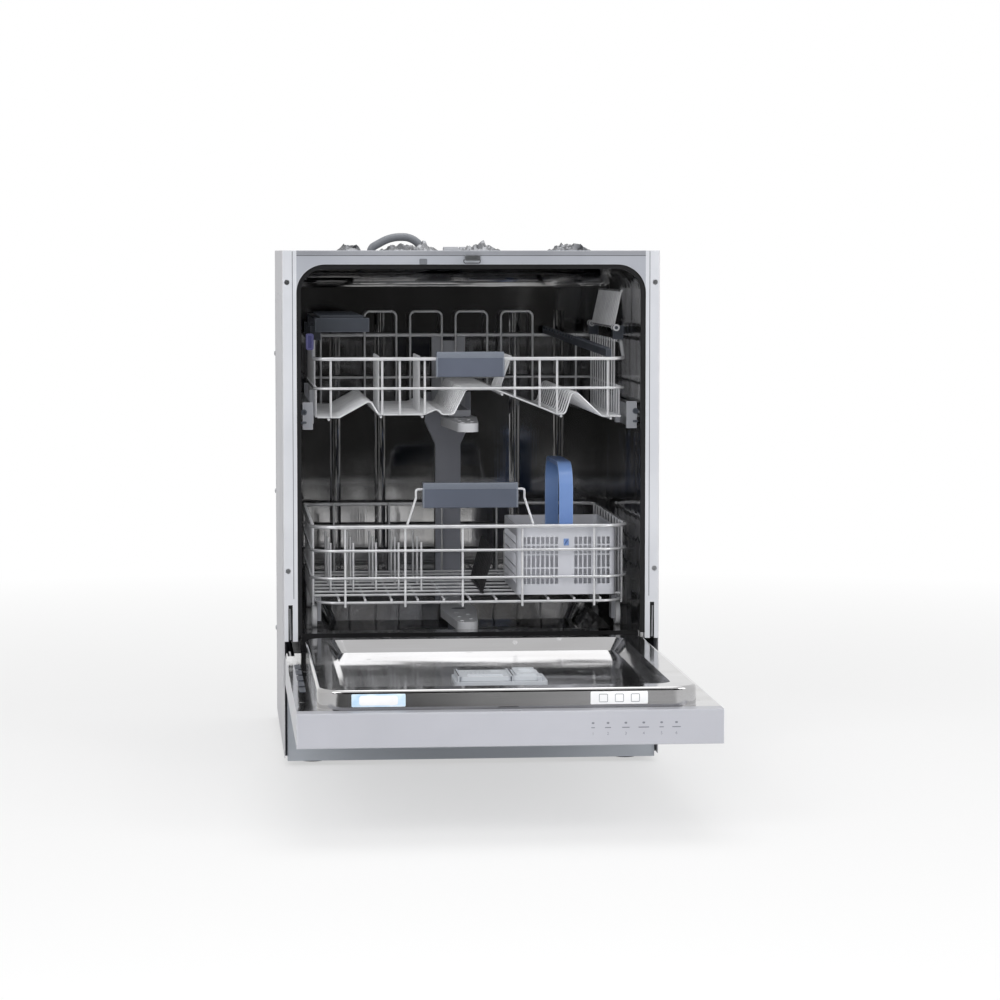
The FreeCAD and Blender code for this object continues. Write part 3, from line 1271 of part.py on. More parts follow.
def upper_rack_nodes():
    nodes = {}
    w = weld_gap
    wall = upper_half
    pieces = []
    out = w + rim_radius
    x_rim = wall + out
    y_front = upper_front - out
    y_back = upper_back + out
    corner = upper_corner + rim_radius
    dip_end = upper_front + upper_dip
    dip_start = dip_end + rack_corner / 2
    for x in (-x_rim, x_rim):
        pieces.append(cylinder(rim_radius, Vec(x, dip_start, upper_rim),
                               Vec(x, y_back - corner, upper_rim)))
    pieces.append(cylinder(rim_radius, Vec(-x_rim + corner, y_back, upper_rim),
                           Vec(x_rim - corner, y_back, upper_rim)))
    for x, start in ((x_rim - corner, 0), (-x_rim + corner, 90)):
        bend = Part.makeTorus(corner, rim_radius, Vec(0, 0, 0), Vec(0, 0, 1), 0, 360, 90)
        bend.rotate(Vec(0, 0, 0), Vec(0, 0, 1), start)
        bend.translate(Vec(x, y_back - corner, upper_rim))
        pieces.append(bend)
    for side in (-1, 1):
        pieces.append(bent_wire([
            (side * x_rim, dip_start, upper_rim), (side * x_rim, dip_end, upper_rim),
            (side * x_rim, y_front + corner, upper_front_rim),
            (side * (x_rim - corner / 2), y_front, upper_front_rim),
            (side * (x_rim - 2 * corner), y_front, upper_front_rim),
        ], rim_radius, 9.0))
    pieces.append(cylinder(rim_radius, Vec(2 * corner - x_rim, y_front, upper_front_rim),
                           Vec(x_rim - 2 * corner, y_front, upper_front_rim)))
    out = w + ring_radius
    pieces += wire_ring(wall + out, upper_front - out, upper_back + out, upper_ring,
                        upper_corner + ring_radius, ring_radius)

    for y in upper_rows():
        pieces.append(bent_wire([(x, y, z) for x, z in cup_floor], thin_radius, fold_bend))
    for y in upper_rows()[1:-1]:
        top = upper_rim + rim_radius if y > dip_start else upper_ring + ring_radius
        for x in (-wall + thin_radius, wall - thin_radius):
            pieces.append(cylinder(thin_radius, Vec(x, y, cup_floor[0][1] - thin_radius), Vec(x, y, top)))
    for places, y, top in ((upper_front_uprights, upper_front + wire_radius, upper_front_rim),
                           (upper_back_uprights, upper_back - wire_radius, upper_rim)):
        for x in places:
            pieces.append(cylinder(wire_radius, Vec(x, y, cup_height(x)), Vec(x, y, top + rim_radius)))
    for index in range(loop_count):
        left = (index - (loop_count - 1) / 2) * loop_pitch - loop_width / 2
        right = left + loop_width
        y = upper_back - wire_radius
        pieces.append(bent_wire([(left, y, cup_height(left)), (left, y, loop_top), (right, y, loop_top),
                                 (right, y, cup_height(right))], wire_radius, loop_bend))
    for x in cup_runs:
        z = cup_run_height(x)
        pieces.append(cylinder(wire_radius, Vec(x, upper_front + 2 * wire_radius + w, z),
                               Vec(x, upper_back - 2 * wire_radius - w, z)))
    for x, lean in zip(upper_tine_places, upper_tine_leans):
        foot = Vec(x, 0, cup_run_height(x))
        direction = Vec(math.sin(math.radians(lean)), 0, math.cos(math.radians(lean)))
        length = (upper_tine_top - foot.z) / direction.z
        for index in range(*upper_tine_rows):
            middle = Vec(0, (upper_rows()[index] + upper_rows()[index + 1]) / 2, 0)
            pieces.append(cylinder(wire_radius, foot.add(direction * (wire_radius + w)).add(middle),
                                   foot.add(direction * length).add(middle)))
    nodes["upper_rack_wires"] = group(pieces)
    nodes["upper_handle"] = handle(upper_handle_width, y_front - rim_radius - handle_plate - w,
                                   upper_handle_bottom)
    nodes.update(rail_nodes())
    nodes.update(shelf_nodes())
    nodes.update(upper_water_nodes())
    return nodes


def upper_rows():
    return spread(upper_rows_front, upper_rows_back, upper_pitch)


def cup_span(x):
    for (xa, za), (xb, zb) in zip(cup_floor, cup_floor[1:]):
        if xa <= x <= xb:
            return xa, za, (zb - za) / (xb - xa)
    return cup_floor[0][0], cup_floor[0][1], 0.0


def cup_height(x):
    start, z, slope = cup_span(x)
    return z + slope * (x - start)


def cup_run_height(x):
    slope = cup_span(x)[2]
    return cup_height(x) - (thin_radius + weld_gap + wire_radius) * math.hypot(1, slope)


def rail_nodes():
    nodes = {}
    outer = rail_inner + rail_sheet
    edge = tub_half - tub_setback / 2 - 1
    rail = box(rail_web - rail_sheet, edge, rail_front, rail_back, rail_axis - outer, rail_axis + outer)
    rail = rail.cut(box(rail_web, edge + 1, rail_front - 1, rail_back + 1, rail_axis - rail_inner,
                        rail_axis + rail_inner))
    cap = box(rail_web - rail_sheet - rail_cap_lap / 2, edge, rail_front - rail_cap, rail_front,
              rail_axis - outer - rail_cap_lap, rail_axis + outer + rail_cap_lap)
    stop = box(rail_web, edge, rail_back - rail_sheet, rail_back, rail_axis - rail_inner,
               rail_axis + rail_inner)
    nodes["upper_rails"] = both_sides(rail.fuse([stop]).removeSplitter())
    fittings = [cap, mirrored(cap)]
    for row in clip_rows:
        y = upper_rows()[int(row)]
        clip = box(upper_half + weld_gap, rail_web - rail_sheet, y - clip_length / 2, y + clip_length / 2,
                   rail_axis - outer, upper_ring - ring_radius - clip_drop)
        fittings += [clip, mirrored(clip)]
    nodes["rail_fittings"] = group(fittings)

    studs = []
    for y in roller_places:
        roller_left = edge - 1 - roller_width
        stud = cylinder(roller_stud_radius, Vec(roller_left, y, rail_axis), Vec(tub_half, y, rail_axis))
        flange = cylinder(roller_stud_radius * 2, Vec(edge + roller_flange_gap, y, rail_axis),
                          Vec(tub_half, y, rail_axis))
        stud = stud.fuse(flange).removeSplitter()
        studs += [stud, mirrored(stud)]
        for side_name, side_sign in (("left", -1), ("right", 1)):
            end_name = "front" if y == roller_places[0] else "rear"
            nodes[f"tub_roller_{end_name}_{side_name}"] = wheel(
                side_sign * (roller_left + roller_width / 2), y, rail_axis, roller_radius, roller_width,
                roller_stud_radius + roller_fit)
    nodes["roller_studs"] = group(studs)
    return nodes


def shelf_nodes():
    nodes = {}
    px = shelf_pivot_x
    pz = shelf_pivot_z
    rim_top = upper_rim + rim_radius
    brackets = []
    for y in shelf_bracket_places:
        block = box(px - shelf_bracket_wall, upper_half + 2 * rim_radius, y - shelf_bracket_length / 2,
                    y + shelf_bracket_length / 2,
                    rim_top + weld_gap, pz + shelf_pin_radius)
        pin = cylinder(shelf_pin_radius, Vec(px, y - shelf_bracket_length, pz),
                       Vec(px, y + shelf_bracket_length, pz))
        bracket = block.fuse(pin).removeSplitter()
        brackets += [bracket, mirrored(bracket)]
    nodes["shelf_brackets"] = group(brackets)

    near, far = shelf_span
    t = shelf_wall
    edge = px - shelf_width
    top = pz - shelf_pin_radius - t + shelf_height
    low = top - shelf_height
    shelf = box(edge, px + shelf_pin_radius + t, near, far, low, top)
    shelf = shelf.cut(box(edge + t, px + shelf_pin_radius + t + 1, near + t, far - t, low - 1, top - t))
    slot_near = near + shelf_slot_margin
    slot_step = (far - near - 2 * shelf_slot_margin) / shelf_slots
    slots = [box(edge + shelf_slot_margin, px - shelf_slot_setback,
                 slot_near + slot_step * (index + shelf_slot_gap),
                 slot_near + slot_step * (index + 1 - shelf_slot_gap),
                 top - t - 1, top + 1) for index in range(shelf_slots)]
    knuckles = []
    bores = []
    rooms = []
    for y in shelf_bracket_places:
        for side in (-1, 1):
            inner = y + side * (shelf_bracket_length / 2 + shelf_side_gap)
            outer = y + side * shelf_bracket_length
            knuckles.append(box(px - shelf_pin_radius - t, px + shelf_pin_radius + t, inner, outer, low,
                                top - 1))
            bores.append(cylinder(shelf_pin_radius + shelf_fit, Vec(px, y, pz), Vec(px, outer + side, pz)))
        rooms.append(box(px - shelf_room_inner, px + shelf_room_outer,
                         y - shelf_bracket_length / 2 - shelf_side_gap,
                         y + shelf_bracket_length / 2 + shelf_side_gap, low - 1, top + 1))
    shelf = shelf.cut(slots + rooms).fuse(knuckles).cut(bores).removeSplitter()
    nodes["cup_shelf_left"] = mirrored(shelf)

    lean = math.radians(grid_lean)
    rise = Vec(math.sin(lean), 0, math.cos(lean))
    rods = []
    sleeve_outer = shelf_pin_radius + t
    for y in shelf_bracket_places:
        for side in (-1, 1):
            inner = y + side * (shelf_bracket_length / 2 + shelf_side_gap)
            outer = y + side * shelf_bracket_length
            sleeve = cylinder(sleeve_outer, Vec(px, inner, pz), Vec(px, outer, pz))
            rods.append(sleeve.cut(cylinder(shelf_pin_radius + shelf_fit, Vec(px, inner - side, pz),
                                            Vec(px, outer + side, pz))))
    first = shelf_bracket_places[0] + shelf_bracket_length
    last = shelf_bracket_places[1] - shelf_bracket_length
    rods.append(cylinder(wire_radius, Vec(px, first, pz), Vec(px, last, pz)))
    tip = rise * grid_height
    for index in range(grid_count):
        y = first + grid_end_inset + (last - first - 2 * grid_end_inset) * index / (grid_count - 1)
        base = Vec(px, y, pz).add(rise * (wire_radius + weld_gap))
        rods.append(cylinder(thin_radius, base, Vec(px, y, pz).add(tip)))
    top_rod = Vec(px, 0, pz).add(rise * (grid_height + wire_radius + weld_gap))
    rods.append(cylinder(wire_radius, Vec(top_rod.x, first, top_rod.z), Vec(top_rod.x, last, top_rod.z)))
    nodes["cup_shelf_right"] = group(rods)

    run = upper_back - upper_front + 4 * rim_radius
    slope = math.degrees(math.atan2(upper_rim - upper_front_rim, run))
    turn = math.degrees(math.atan2(comb_front_x - comb_back_x, run))
    bar = box(-comb_width / 2, comb_width / 2, 0, run, 0, comb_height)
    step = run * comb_notched_share / comb_notches
    notches = [box(-comb_width, comb_width, run - step * (index + 1 - comb_tooth_share),
                   run - step * (index + comb_tooth_share), comb_height - comb_notch, comb_height + 1)
               for index in range(comb_notches)]
    bar = bar.cut(notches)
    bar.rotate(Vec(0, 0, 0), Vec(1, 0, 0), slope)
    bar.rotate(Vec(0, 0, 0), Vec(0, 0, 1), turn)
    bar.translate(Vec(comb_front_x, upper_front - 2 * rim_radius, upper_front_rim + rim_radius + weld_gap))
    nodes["glass_comb"] = bar
    return nodes


def upper_water_nodes():
    nodes = {}
    duct_low = upper_arm_top + duct_clear
    duct_back = tub_back_y - feed_depth - dock_gap
    duct = box(-duct_width / 2, duct_width / 2, upper_arm_y - duct_width / 2, duct_back, duct_low,
               duct_low + duct_height)
    pin = Part.makeCylinder(arm_pin_radius, duct_low - upper_arm_base + arm_thickness / 2,
                            Vec(0, upper_arm_y, upper_arm_base - arm_thickness / 2))
    cap = Part.makeCylinder(arm_pin_radius + arm_cap_wall, arm_thickness / 2 - filter_gap,
                            Vec(0, upper_arm_y, upper_arm_base - arm_thickness / 2))
    riser_y = upper_back + 2 * rim_radius + 2 * weld_gap
    riser = box(-yoke_width / 2, yoke_width / 2, riser_y, duct_back, duct_low, upper_rim + rim_radius)
    notch = box(-yoke_width / 5, yoke_width / 5, riser_y - 1, duct_back + 1, upper_rim - yoke_notch_drop,
                upper_rim + 2 * rim_radius)
    nodes["upper_feed"] = duct.fuse([pin, cap, riser]).cut(notch).removeSplitter()
    nodes["upper_spray_arm"] = spray_arm(upper_arm_y, upper_arm_base, arm_reach, arm_pin_radius + arm_fit)
    return nodes


def build():
    nodes = {}
    for make in (cabinet_nodes, base_nodes, tub_nodes, water_nodes, roof_nodes, door_nodes,
                 lower_rack_nodes,
                 upper_rack_nodes):
        nodes.update(make())
    for shape in nodes.values():
        shape.translate(Vec(0, -origin_y, 0))
    return nodes


def main():
    os.makedirs("parts", exist_ok=True)
    for name, shape in build().items():
        shape.exportStep(f"parts/{name}.step")


if __name__ == "__main__":
    main()
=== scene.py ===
import bpy
import json
import math
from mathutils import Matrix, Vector


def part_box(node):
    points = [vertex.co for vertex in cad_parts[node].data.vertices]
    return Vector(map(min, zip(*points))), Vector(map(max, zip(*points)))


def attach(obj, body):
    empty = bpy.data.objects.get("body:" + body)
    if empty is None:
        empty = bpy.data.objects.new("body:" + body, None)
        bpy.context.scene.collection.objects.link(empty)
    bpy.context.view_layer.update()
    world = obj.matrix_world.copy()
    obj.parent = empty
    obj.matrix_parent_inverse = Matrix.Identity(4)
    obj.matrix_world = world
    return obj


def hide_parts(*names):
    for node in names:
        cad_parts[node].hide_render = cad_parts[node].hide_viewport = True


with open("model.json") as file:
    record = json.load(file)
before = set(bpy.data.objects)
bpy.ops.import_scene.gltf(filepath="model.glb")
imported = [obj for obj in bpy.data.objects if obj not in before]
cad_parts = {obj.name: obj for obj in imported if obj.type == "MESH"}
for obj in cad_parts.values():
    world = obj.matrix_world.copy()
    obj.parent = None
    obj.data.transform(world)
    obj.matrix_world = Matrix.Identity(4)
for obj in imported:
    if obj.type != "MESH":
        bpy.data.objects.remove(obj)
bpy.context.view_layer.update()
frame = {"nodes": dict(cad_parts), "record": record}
nodes = frame["nodes"]
bpy.ops.object.select_all(action="DESELECT")
print("frame loaded:", len(nodes), "nodes")


# shader helpers

def tone(red, green, blue):  # screen values, 0 to 255
    return tuple((value / 255) ** 2.2 for value in (red, green, blue)) + (1.0,)


def addNode(tree, kind, feeds=None, **settings):
    node = tree.nodes.new("ShaderNode" + kind)
    for key, value in settings.items():
        setattr(node, key, value)
    for key, value in (feeds or {}).items():
        if isinstance(value, bpy.types.NodeSocket):
            tree.links.new(value, node.inputs[key])
        else:
            node.inputs[key].default_value = value
    return node


def openGroup(name, inputs, outputs):
    tree = bpy.data.node_groups.new(name, "ShaderNodeTree")
    for label, kind, value in inputs:
        socket = tree.interface.new_socket(label, in_out="INPUT", socket_type="NodeSocket" + kind)
        socket.default_value = value
    for label, kind in outputs:
        tree.interface.new_socket(label, in_out="OUTPUT", socket_type="NodeSocket" + kind)
    return tree, tree.nodes.new("NodeGroupInput").outputs, tree.nodes.new("NodeGroupOutput").inputs


def placeGroup(tree, group, feeds):
    return addNode(tree, "Group", feeds, node_tree=group).outputs


def emptyTree(holder):  # a material or world with its nodes cleared
    holder.use_nodes = True
    holder.node_tree.nodes.clear()
    return holder.node_tree


def stretchedNoise(tree, stretch, scale, detail):
    place = addNode(tree, "TexCoord").outputs["Object"]
    turned = addNode(tree, "Mapping", {"Vector": place, "Scale": stretch})
    return addNode(tree, "TexNoise", {"Vector": turned.outputs[0], "Scale": scale, "Detail": detail})


def blendColours(tree, factor, first, second):
    mix = addNode(tree, "Mix", {"Factor": factor, 6: first, 7: second}, data_type="RGBA")
    return mix.outputs[2]


evenly = (1, 1, 1)

# slow change between two tones
toneDrift, given, result = openGroup("toneDrift", [
    ("Dark", "Color", (0.2, 0.2, 0.2, 1)), ("Light", "Color", (0.5, 0.5, 0.5, 1)),
    ("Scale", "Float", 6.0), ("Stretch", "Vector", evenly)], [("Colour", "Color")])
noise = stretchedNoise(toneDrift, given["Stretch"], given["Scale"], detail=4.0)
spread = addNode(toneDrift, "MapRange", {"Value": noise.outputs["Fac"], "From Min": 0.3, "From Max": 0.7})
mixed = blendColours(toneDrift, spread.outputs[0], given["Dark"], given["Light"])
toneDrift.links.new(mixed, result["Colour"])

# fine grain of a moulded, rolled or sprayed surface
surfaceGrain, given, result = openGroup("surfaceGrain", [
    ("Scale", "Float", 900.0), ("Low", "Float", 0.3), ("High", "Float", 0.5)],
    [("Roughness", "Float"), ("Height", "Float")])
noise = stretchedNoise(surfaceGrain, evenly, given["Scale"], detail=2.0)
wide = stretchedNoise(surfaceGrain, evenly, scale=14.0, detail=5.0)
both = addNode(surfaceGrain, "Math", {0: noise.outputs["Fac"], 1: wide.outputs["Fac"]}, operation="ADD")
spread = addNode(surfaceGrain, "MapRange", {"Value": both.outputs[0], "From Min": 0.7, "From Max": 1.3,
                                            "To Min": given["Low"], "To Max": given["High"]})
surfaceGrain.links.new(spread.outputs[0], result["Roughness"])
surfaceGrain.links.new(noise.outputs["Fac"], result["Height"])

# lines of a brushed or rolled sheet
brushedLines, given, result = openGroup("brushedLines", [("Stretch", "Vector", evenly)],
                                        [("Mask", "Float"), ("Height", "Float")])
noise = stretchedNoise(brushedLines, given["Stretch"], scale=1.0, detail=3.0)
spread = addNode(brushedLines, "MapRange",
                 {"Value": noise.outputs["Fac"], "From Min": 0.35, "From Max": 0.65})
brushedLines.links.new(spread.outputs[0], result["Mask"])
brushedLines.links.new(noise.outputs["Fac"], result["Height"])

# dried drops left by the water
waterMarks, given, result = openGroup("waterMarks", [("Scale", "Float", 40.0)], [("Mask", "Float")])
place = addNode(waterMarks, "TexCoord").outputs["Object"]
cells = addNode(waterMarks, "TexVoronoi", {"Vector": place, "Scale": given["Scale"]})
ring = addNode(waterMarks, "MapRange", {"Value": cells.outputs["Distance"], "From Min": 0.16,
                                        "From Max": 0.24, "To Min": 1.0, "To Max": 0.0})
some = addNode(waterMarks, "Math", {0: cells.outputs["Color"], 1: 0.72}, operation="GREATER_THAN")
drop = addNode(waterMarks, "Math", {0: ring.outputs[0], 1: some.outputs[0]}, operation="MULTIPLY")
waterMarks.links.new(drop.outputs[0], result["Mask"])

# rubbed edges, paler in most finishes: partly wear, partly a painted highlight along the edges
edgeWearAndSheen, given, result = openGroup("edgeWearAndSheen", [("Radius", "Float", 0.002)], [("Mask", "Float")])
rounded = addNode(edgeWearAndSheen, "Bevel", {"Radius": given["Radius"]}, samples=4)
flat = addNode(edgeWearAndSheen, "NewGeometry")
same = addNode(edgeWearAndSheen, "VectorMath", {0: rounded.outputs[0], 1: flat.outputs["Normal"]},
               operation="DOT_PRODUCT")
rim = addNode(edgeWearAndSheen, "MapRange", {"Value": same.outputs["Value"], "From Min": 0.99, "From Max": 0.86})
noise = stretchedNoise(edgeWearAndSheen, evenly, scale=60.0, detail=3.0)
wearAndSheen = addNode(edgeWearAndSheen, "Math", {0: rim.outputs[0], 1: noise.outputs["Fac"]}, operation="MULTIPLY")
edgeWearAndSheen.links.new(wearAndSheen.outputs[0], result["Mask"])

# slow waves of a thin pressed sheet
sheetWave, given, result = openGroup("sheetWave", [("Stretch", "Vector", (5, 5, 2))], [("Height", "Float")])
noise = stretchedNoise(sheetWave, given["Stretch"], scale=1.0, detail=2.0)
sheetWave.links.new(noise.outputs["Fac"], result["Height"])

# what a finish has unless its own line says otherwise
plainLook = {"metal": 0.0, "ior": 1.5, "coat": 0.0, "coatRough": 0.12, "scale": 6.0, "stretch": evenly,
             "grain": 900.0, "bump": 0.15, "depth": 0.0003, "lineShare": 0.25, "lineBump": 0.12,
             "lineDepth": 0.0002, "waveBump": 1.0, "waveDepth": 0.002, "markShare": 0.18, "edgeWidth": 0.002}


def finishLook(dark, light, rough, **more):  # screen tones, and roughness from low to high
    if "edge" in more:
        more["edge"] = tone(*more["edge"])
    return {**plainLook, "dark": tone(*dark), "light": tone(*light), "rough": rough, **more}


def makeFinish(name, look):
    material = bpy.data.materials.new(name)
    tree = emptyTree(material)
    shader = addNode(tree, "BsdfPrincipled", {"Metallic": look["metal"], "IOR": look["ior"],
                                              "Coat Weight": look["coat"],
                                              "Coat Roughness": look["coatRough"]})
    drift = placeGroup(tree, toneDrift, {"Dark": look["dark"], "Light": look["light"],
                                         "Scale": look["scale"], "Stretch": look["stretch"]})
    colour = drift["Colour"]
    low, high = look["rough"]
    grain = placeGroup(tree, surfaceGrain, {"Scale": look["grain"], "Low": low, "High": high})
    roughness = grain["Roughness"]
    normal = addNode(tree, "Bump", {"Height": grain["Height"], "Strength": look["bump"],
                                    "Distance": look["depth"]}).outputs[0]
    if "lines" in look:
        lines = placeGroup(tree, brushedLines, {"Stretch": look["lines"]})
        shaded = addNode(tree, "Math", {0: lines["Mask"], 1: look["lineShare"]}, operation="MULTIPLY")
        colour = blendColours(tree, shaded.outputs[0], colour, look["dark"])
        normal = addNode(tree, "Bump", {"Height": lines["Height"], "Strength": look["lineBump"],
                                        "Distance": look["lineDepth"], "Normal": normal}).outputs[0]
    if "wave" in look:
        wave = placeGroup(tree, sheetWave, {"Stretch": look["wave"]})
        normal = addNode(tree, "Bump", {"Height": wave["Height"], "Strength": look["waveBump"],
                                        "Distance": look["waveDepth"], "Normal": normal}).outputs[0]
    if "marks" in look:
        drops = placeGroup(tree, waterMarks, {"Scale": look["marks"]})
        share = addNode(tree, "Math", {0: drops["Mask"], 1: look["markShare"]}, operation="MULTIPLY")
        roughness = addNode(tree, "Math", {0: roughness, 1: share.outputs[0]}, operation="ADD").outputs[0]
        colour = blendColours(tree, share.outputs[0], colour, look["light"])
    # edge colour: wear together with a painted highlight on the edges
    if "edge" in look:
        wearAndSheen = placeGroup(tree, edgeWearAndSheen, {"Radius": look["edgeWidth"]})
        colour = blendColours(tree, wearAndSheen["Mask"], colour, look["edge"])
    tree.links.new(colour, shader.inputs["Base Color"])
    tree.links.new(roughness, shader.inputs["Roughness"])
    tree.links.new(normal, shader.inputs["Normal"])
    addNode(tree, "OutputMaterial", {"Surface": shader.outputs[0]})
    return material


# finishes, one for each slot of the record
finishLooks = {
    "cabinet_paint": finishLook((196, 198, 204), (212, 214, 219), (0.30, 0.42), grain=700.0, bump=0.10,
                                edge=(232, 233, 236), coat=0.15),
    "side_paint": finishLook((182, 182, 186), (190, 190, 194), (0.42, 0.52), scale=2.5, grain=800.0, bump=0.2,
                             edge=(215, 215, 218)),
    "base_grey": finishLook((66, 68, 72), (82, 84, 90), (0.5, 0.65), bump=0.3, edge=(110, 112, 118)),
    "kick_grey": finishLook((166, 171, 177), (178, 183, 190), (0.34, 0.46), stretch=(1, 1, 4),
                            edge=(186, 190, 196)),
    "foot_black": finishLook((28, 28, 30), (44, 44, 46), (0.55, 0.75), bump=0.4),
    "tub_steel": finishLook((150, 149, 147), (190, 190, 192), (0.035, 0.11), metal=1.0, stretch=(6, 6, 1),
                            scale=2.0, lines=(420, 420, 6), lineShare=0.22, wave=(7, 7, 2.2), waveDepth=0.004,
                            marks=46.0, bump=0.03),
    "plain_steel": finishLook((150, 152, 155), (182, 184, 188), (0.25, 0.38), metal=1.0, lines=(300, 300, 20),
                              bump=0.1, edge=(215, 216, 220)),
    "seal_black": finishLook((14, 14, 16), (26, 26, 29), (0.38, 0.55), bump=0.3, grain=500.0),
    "mat_bitumen": finishLook((50, 51, 54), (142, 143, 146), (0.18, 0.34), scale=24.0, metal=0.85, bump=0.35,
                              grain=420.0),
    "hose_grey": finishLook((104, 107, 112), (124, 127, 133), (0.38, 0.5), bump=0.2),
    "fitting_grey": finishLook((132, 134, 140), (152, 154, 160), (0.36, 0.5), bump=0.2, edge=(184, 185, 190)),
    "sump_grey": finishLook((82, 85, 90), (98, 101, 107), (0.4, 0.55), bump=0.25),
    "pump_dark": finishLook((38, 39, 42), (54, 55, 59), (0.42, 0.56), bump=0.3),
    # painted light: these tones are paler than the pipe's own slate grey, standing in for light inside the
    # tub
    "feed_slate": finishLook((130, 132, 141), (150, 152, 162), (0.34, 0.46), bump=0.2, edge=(135, 137, 146)),
    "arm_pale": finishLook((176, 177, 180), (196, 197, 201), (0.3, 0.42), marks=70.0, edge=(216, 217, 220)),
    "salt_cap_grey": finishLook((120, 122, 128), (138, 140, 147), (0.36, 0.5), bump=0.2),
    "roller_white": finishLook((186, 187, 190), (206, 207, 210), (0.34, 0.48), bump=0.2,
                               edge=(168, 168, 170)),
    "door_skin": finishLook((178, 179, 184), (186, 187, 193), (0.30, 0.40), metal=0.45, stretch=(1, 6, 6),
                            lines=(8, 900, 900), lineShare=0.3, bump=0.05, edge=(214, 215, 220)),
    "control_face": finishLook((165, 166, 173), (174, 175, 182), (0.34, 0.44), grain=1400.0, bump=0.08,
                               lines=(10, 700, 700), lineShare=0.12, edge=(222, 223, 228)),
    "dispenser_grey": finishLook((164, 168, 174), (186, 190, 196), (0.3, 0.42), bump=0.18,
                                 edge=(205, 208, 212)),
    "lid_grey": finishLook((178, 182, 188), (200, 204, 209), (0.26, 0.38), edge=(214, 216, 220), marks=80.0),
    "wire_silver": finishLook((214, 215, 219), (238, 239, 241), (0.14, 0.25), metal=0.5, scale=30.0, bump=0.1,
                              coat=0.25),
    "handle_slate": finishLook((76, 82, 94), (94, 100, 115), (0.32, 0.45), bump=0.22, grain=1200.0,
                               edge=(132, 138, 150)),
    "tine_black": finishLook((20, 20, 22), (36, 36, 39), (0.36, 0.5), bump=0.2),
    "basket_pale": finishLook((182, 184, 190), (204, 205, 213), (0.36, 0.5), bump=0.2, edge=(222, 223, 228)),
    "basket_blue": finishLook((84, 114, 172), (124, 154, 206), (0.24, 0.36), coat=0.25, edge=(168, 192, 226)),
    "shelf_dark": finishLook((42, 46, 52), (66, 70, 79), (0.34, 0.48), bump=0.22, edge=(112, 117, 128)),
}

# finishes of single pieces
ownLooks = {
    "plateBlue": finishLook((168, 204, 232), (232, 242, 248), (0.28, 0.4), scale=40.0, bump=0.08),
    "plateWhite": finishLook((228, 229, 230), (244, 244, 245), (0.34, 0.46), scale=30.0, bump=0.08),
    "markInk": finishLook((96, 98, 106), (122, 124, 132), (0.5, 0.6), bump=0.05),
    # painted highlight: a paler copy of handle_slate for the handle lips, where light falls on their tops
    "handleSlateHighlight": finishLook((104, 110, 121), (120, 126, 137), (0.26, 0.38), edge=(158, 163, 172)),
    "railPaint": finishLook((156, 159, 167), (170, 173, 181), (0.28, 0.4), grain=700.0, bump=0.1,
                            edge=(214, 216, 220), coat=0.15),
    "padBitumen": finishLook((34, 34, 36), (52, 52, 54), (0.55, 0.75), scale=9.0, grain=300.0, bump=0.5,
                             edge=(74, 74, 76)),
    "linerSteel": finishLook((168, 167, 166), (188, 188, 190), (0.05, 0.13), metal=1.0, stretch=(1, 5, 5),
                             scale=2.0, lines=(6, 420, 420), lineShare=0.18, wave=(3, 5, 5), waveDepth=0.003,
                             marks=42.0, bump=0.03, edge=(220, 220, 222)),
    "clipViolet": finishLook((62, 62, 108), (88, 88, 134), (0.32, 0.44), edge=(140, 140, 180)),
}
finishes = {name: makeFinish(name, look) for name, look in {**finishLooks, **ownLooks}.items()}


def paintNode(node, finish):
    for holder in nodes[node].material_slots:
        holder.material = finishes[finish]


for subpart in frame["record"]["subparts"]:
    paintNode(subpart["node"], subpart["material_slot"])
paintNode("top_rail", "railPaint")
paintNode("door_liner", "linerSteel")
print("finishes set:", len(finishes))


# modelling helpers

toFront, toBack, toTop, toRight = (1, -1), (1, 1), (2, 1), (0, 1)  # axis and sign that a face looks to
layOnX, layOnY = (0, math.radians(90), 0), (math.radians(90), 0, 0)  # turns a round piece's axis


def makeActive(piece):
    bpy.ops.object.select_all(action="DESELECT")
    piece.select_set(True)
    bpy.context.view_layer.objects.active = piece


def namedNew(name):  # the object that was just added, its place and size put into its mesh
    piece = bpy.context.object
    piece.name = name
    bpy.ops.object.transform_apply(location=True, rotation=True, scale=True)
    return piece


def addBlock(name, low, high):
    bpy.ops.object.select_all(action="DESELECT")
    bpy.ops.mesh.primitive_cube_add(size=1, location=[(a + b) / 2 for a, b in zip(low, high)])
    bpy.context.object.scale = [b - a for a, b in zip(low, high)]
    return namedNew(name)


def addRound(name, radius, depth, middle, turn, sides):
    bpy.ops.object.select_all(action="DESELECT")
    bpy.ops.mesh.primitive_cylinder_add(vertices=sides, radius=radius, depth=depth, location=middle,
                                        rotation=turn)
    return namedNew(name)


def addSheet(name, steps, middle, size, turn=(0, 0, 0)):
    bpy.ops.object.select_all(action="DESELECT")
    bpy.ops.mesh.primitive_grid_add(x_subdivisions=steps[0], y_subdivisions=steps[1], size=1,
                                    location=middle, rotation=turn)
    bpy.context.object.scale = (size[0], size[1], 1)
    return namedNew(name)


def pick(piece, kind, test):  # leaves edit mode on, with the wanted edges or faces selected
    bpy.context.view_layer.objects.active = piece
    bpy.ops.object.mode_set(mode="EDIT")
    bpy.ops.mesh.select_mode(type=kind)
    bpy.ops.mesh.select_all(action="DESELECT")
    bpy.ops.object.mode_set(mode="OBJECT")
    if kind == "EDGE":
        for edge in piece.data.edges:
            edge.select = test(*[piece.data.vertices[index].co for index in edge.vertices])
    else:
        for face in piece.data.polygons:
            face.select = test(face.center, face.normal)
    bpy.ops.object.mode_set(mode="EDIT")


def everyEdge(a, b):
    return True


def along(axis):  # edges that run along an axis
    return lambda a, b: abs((a - b).normalized()[axis]) > 0.99


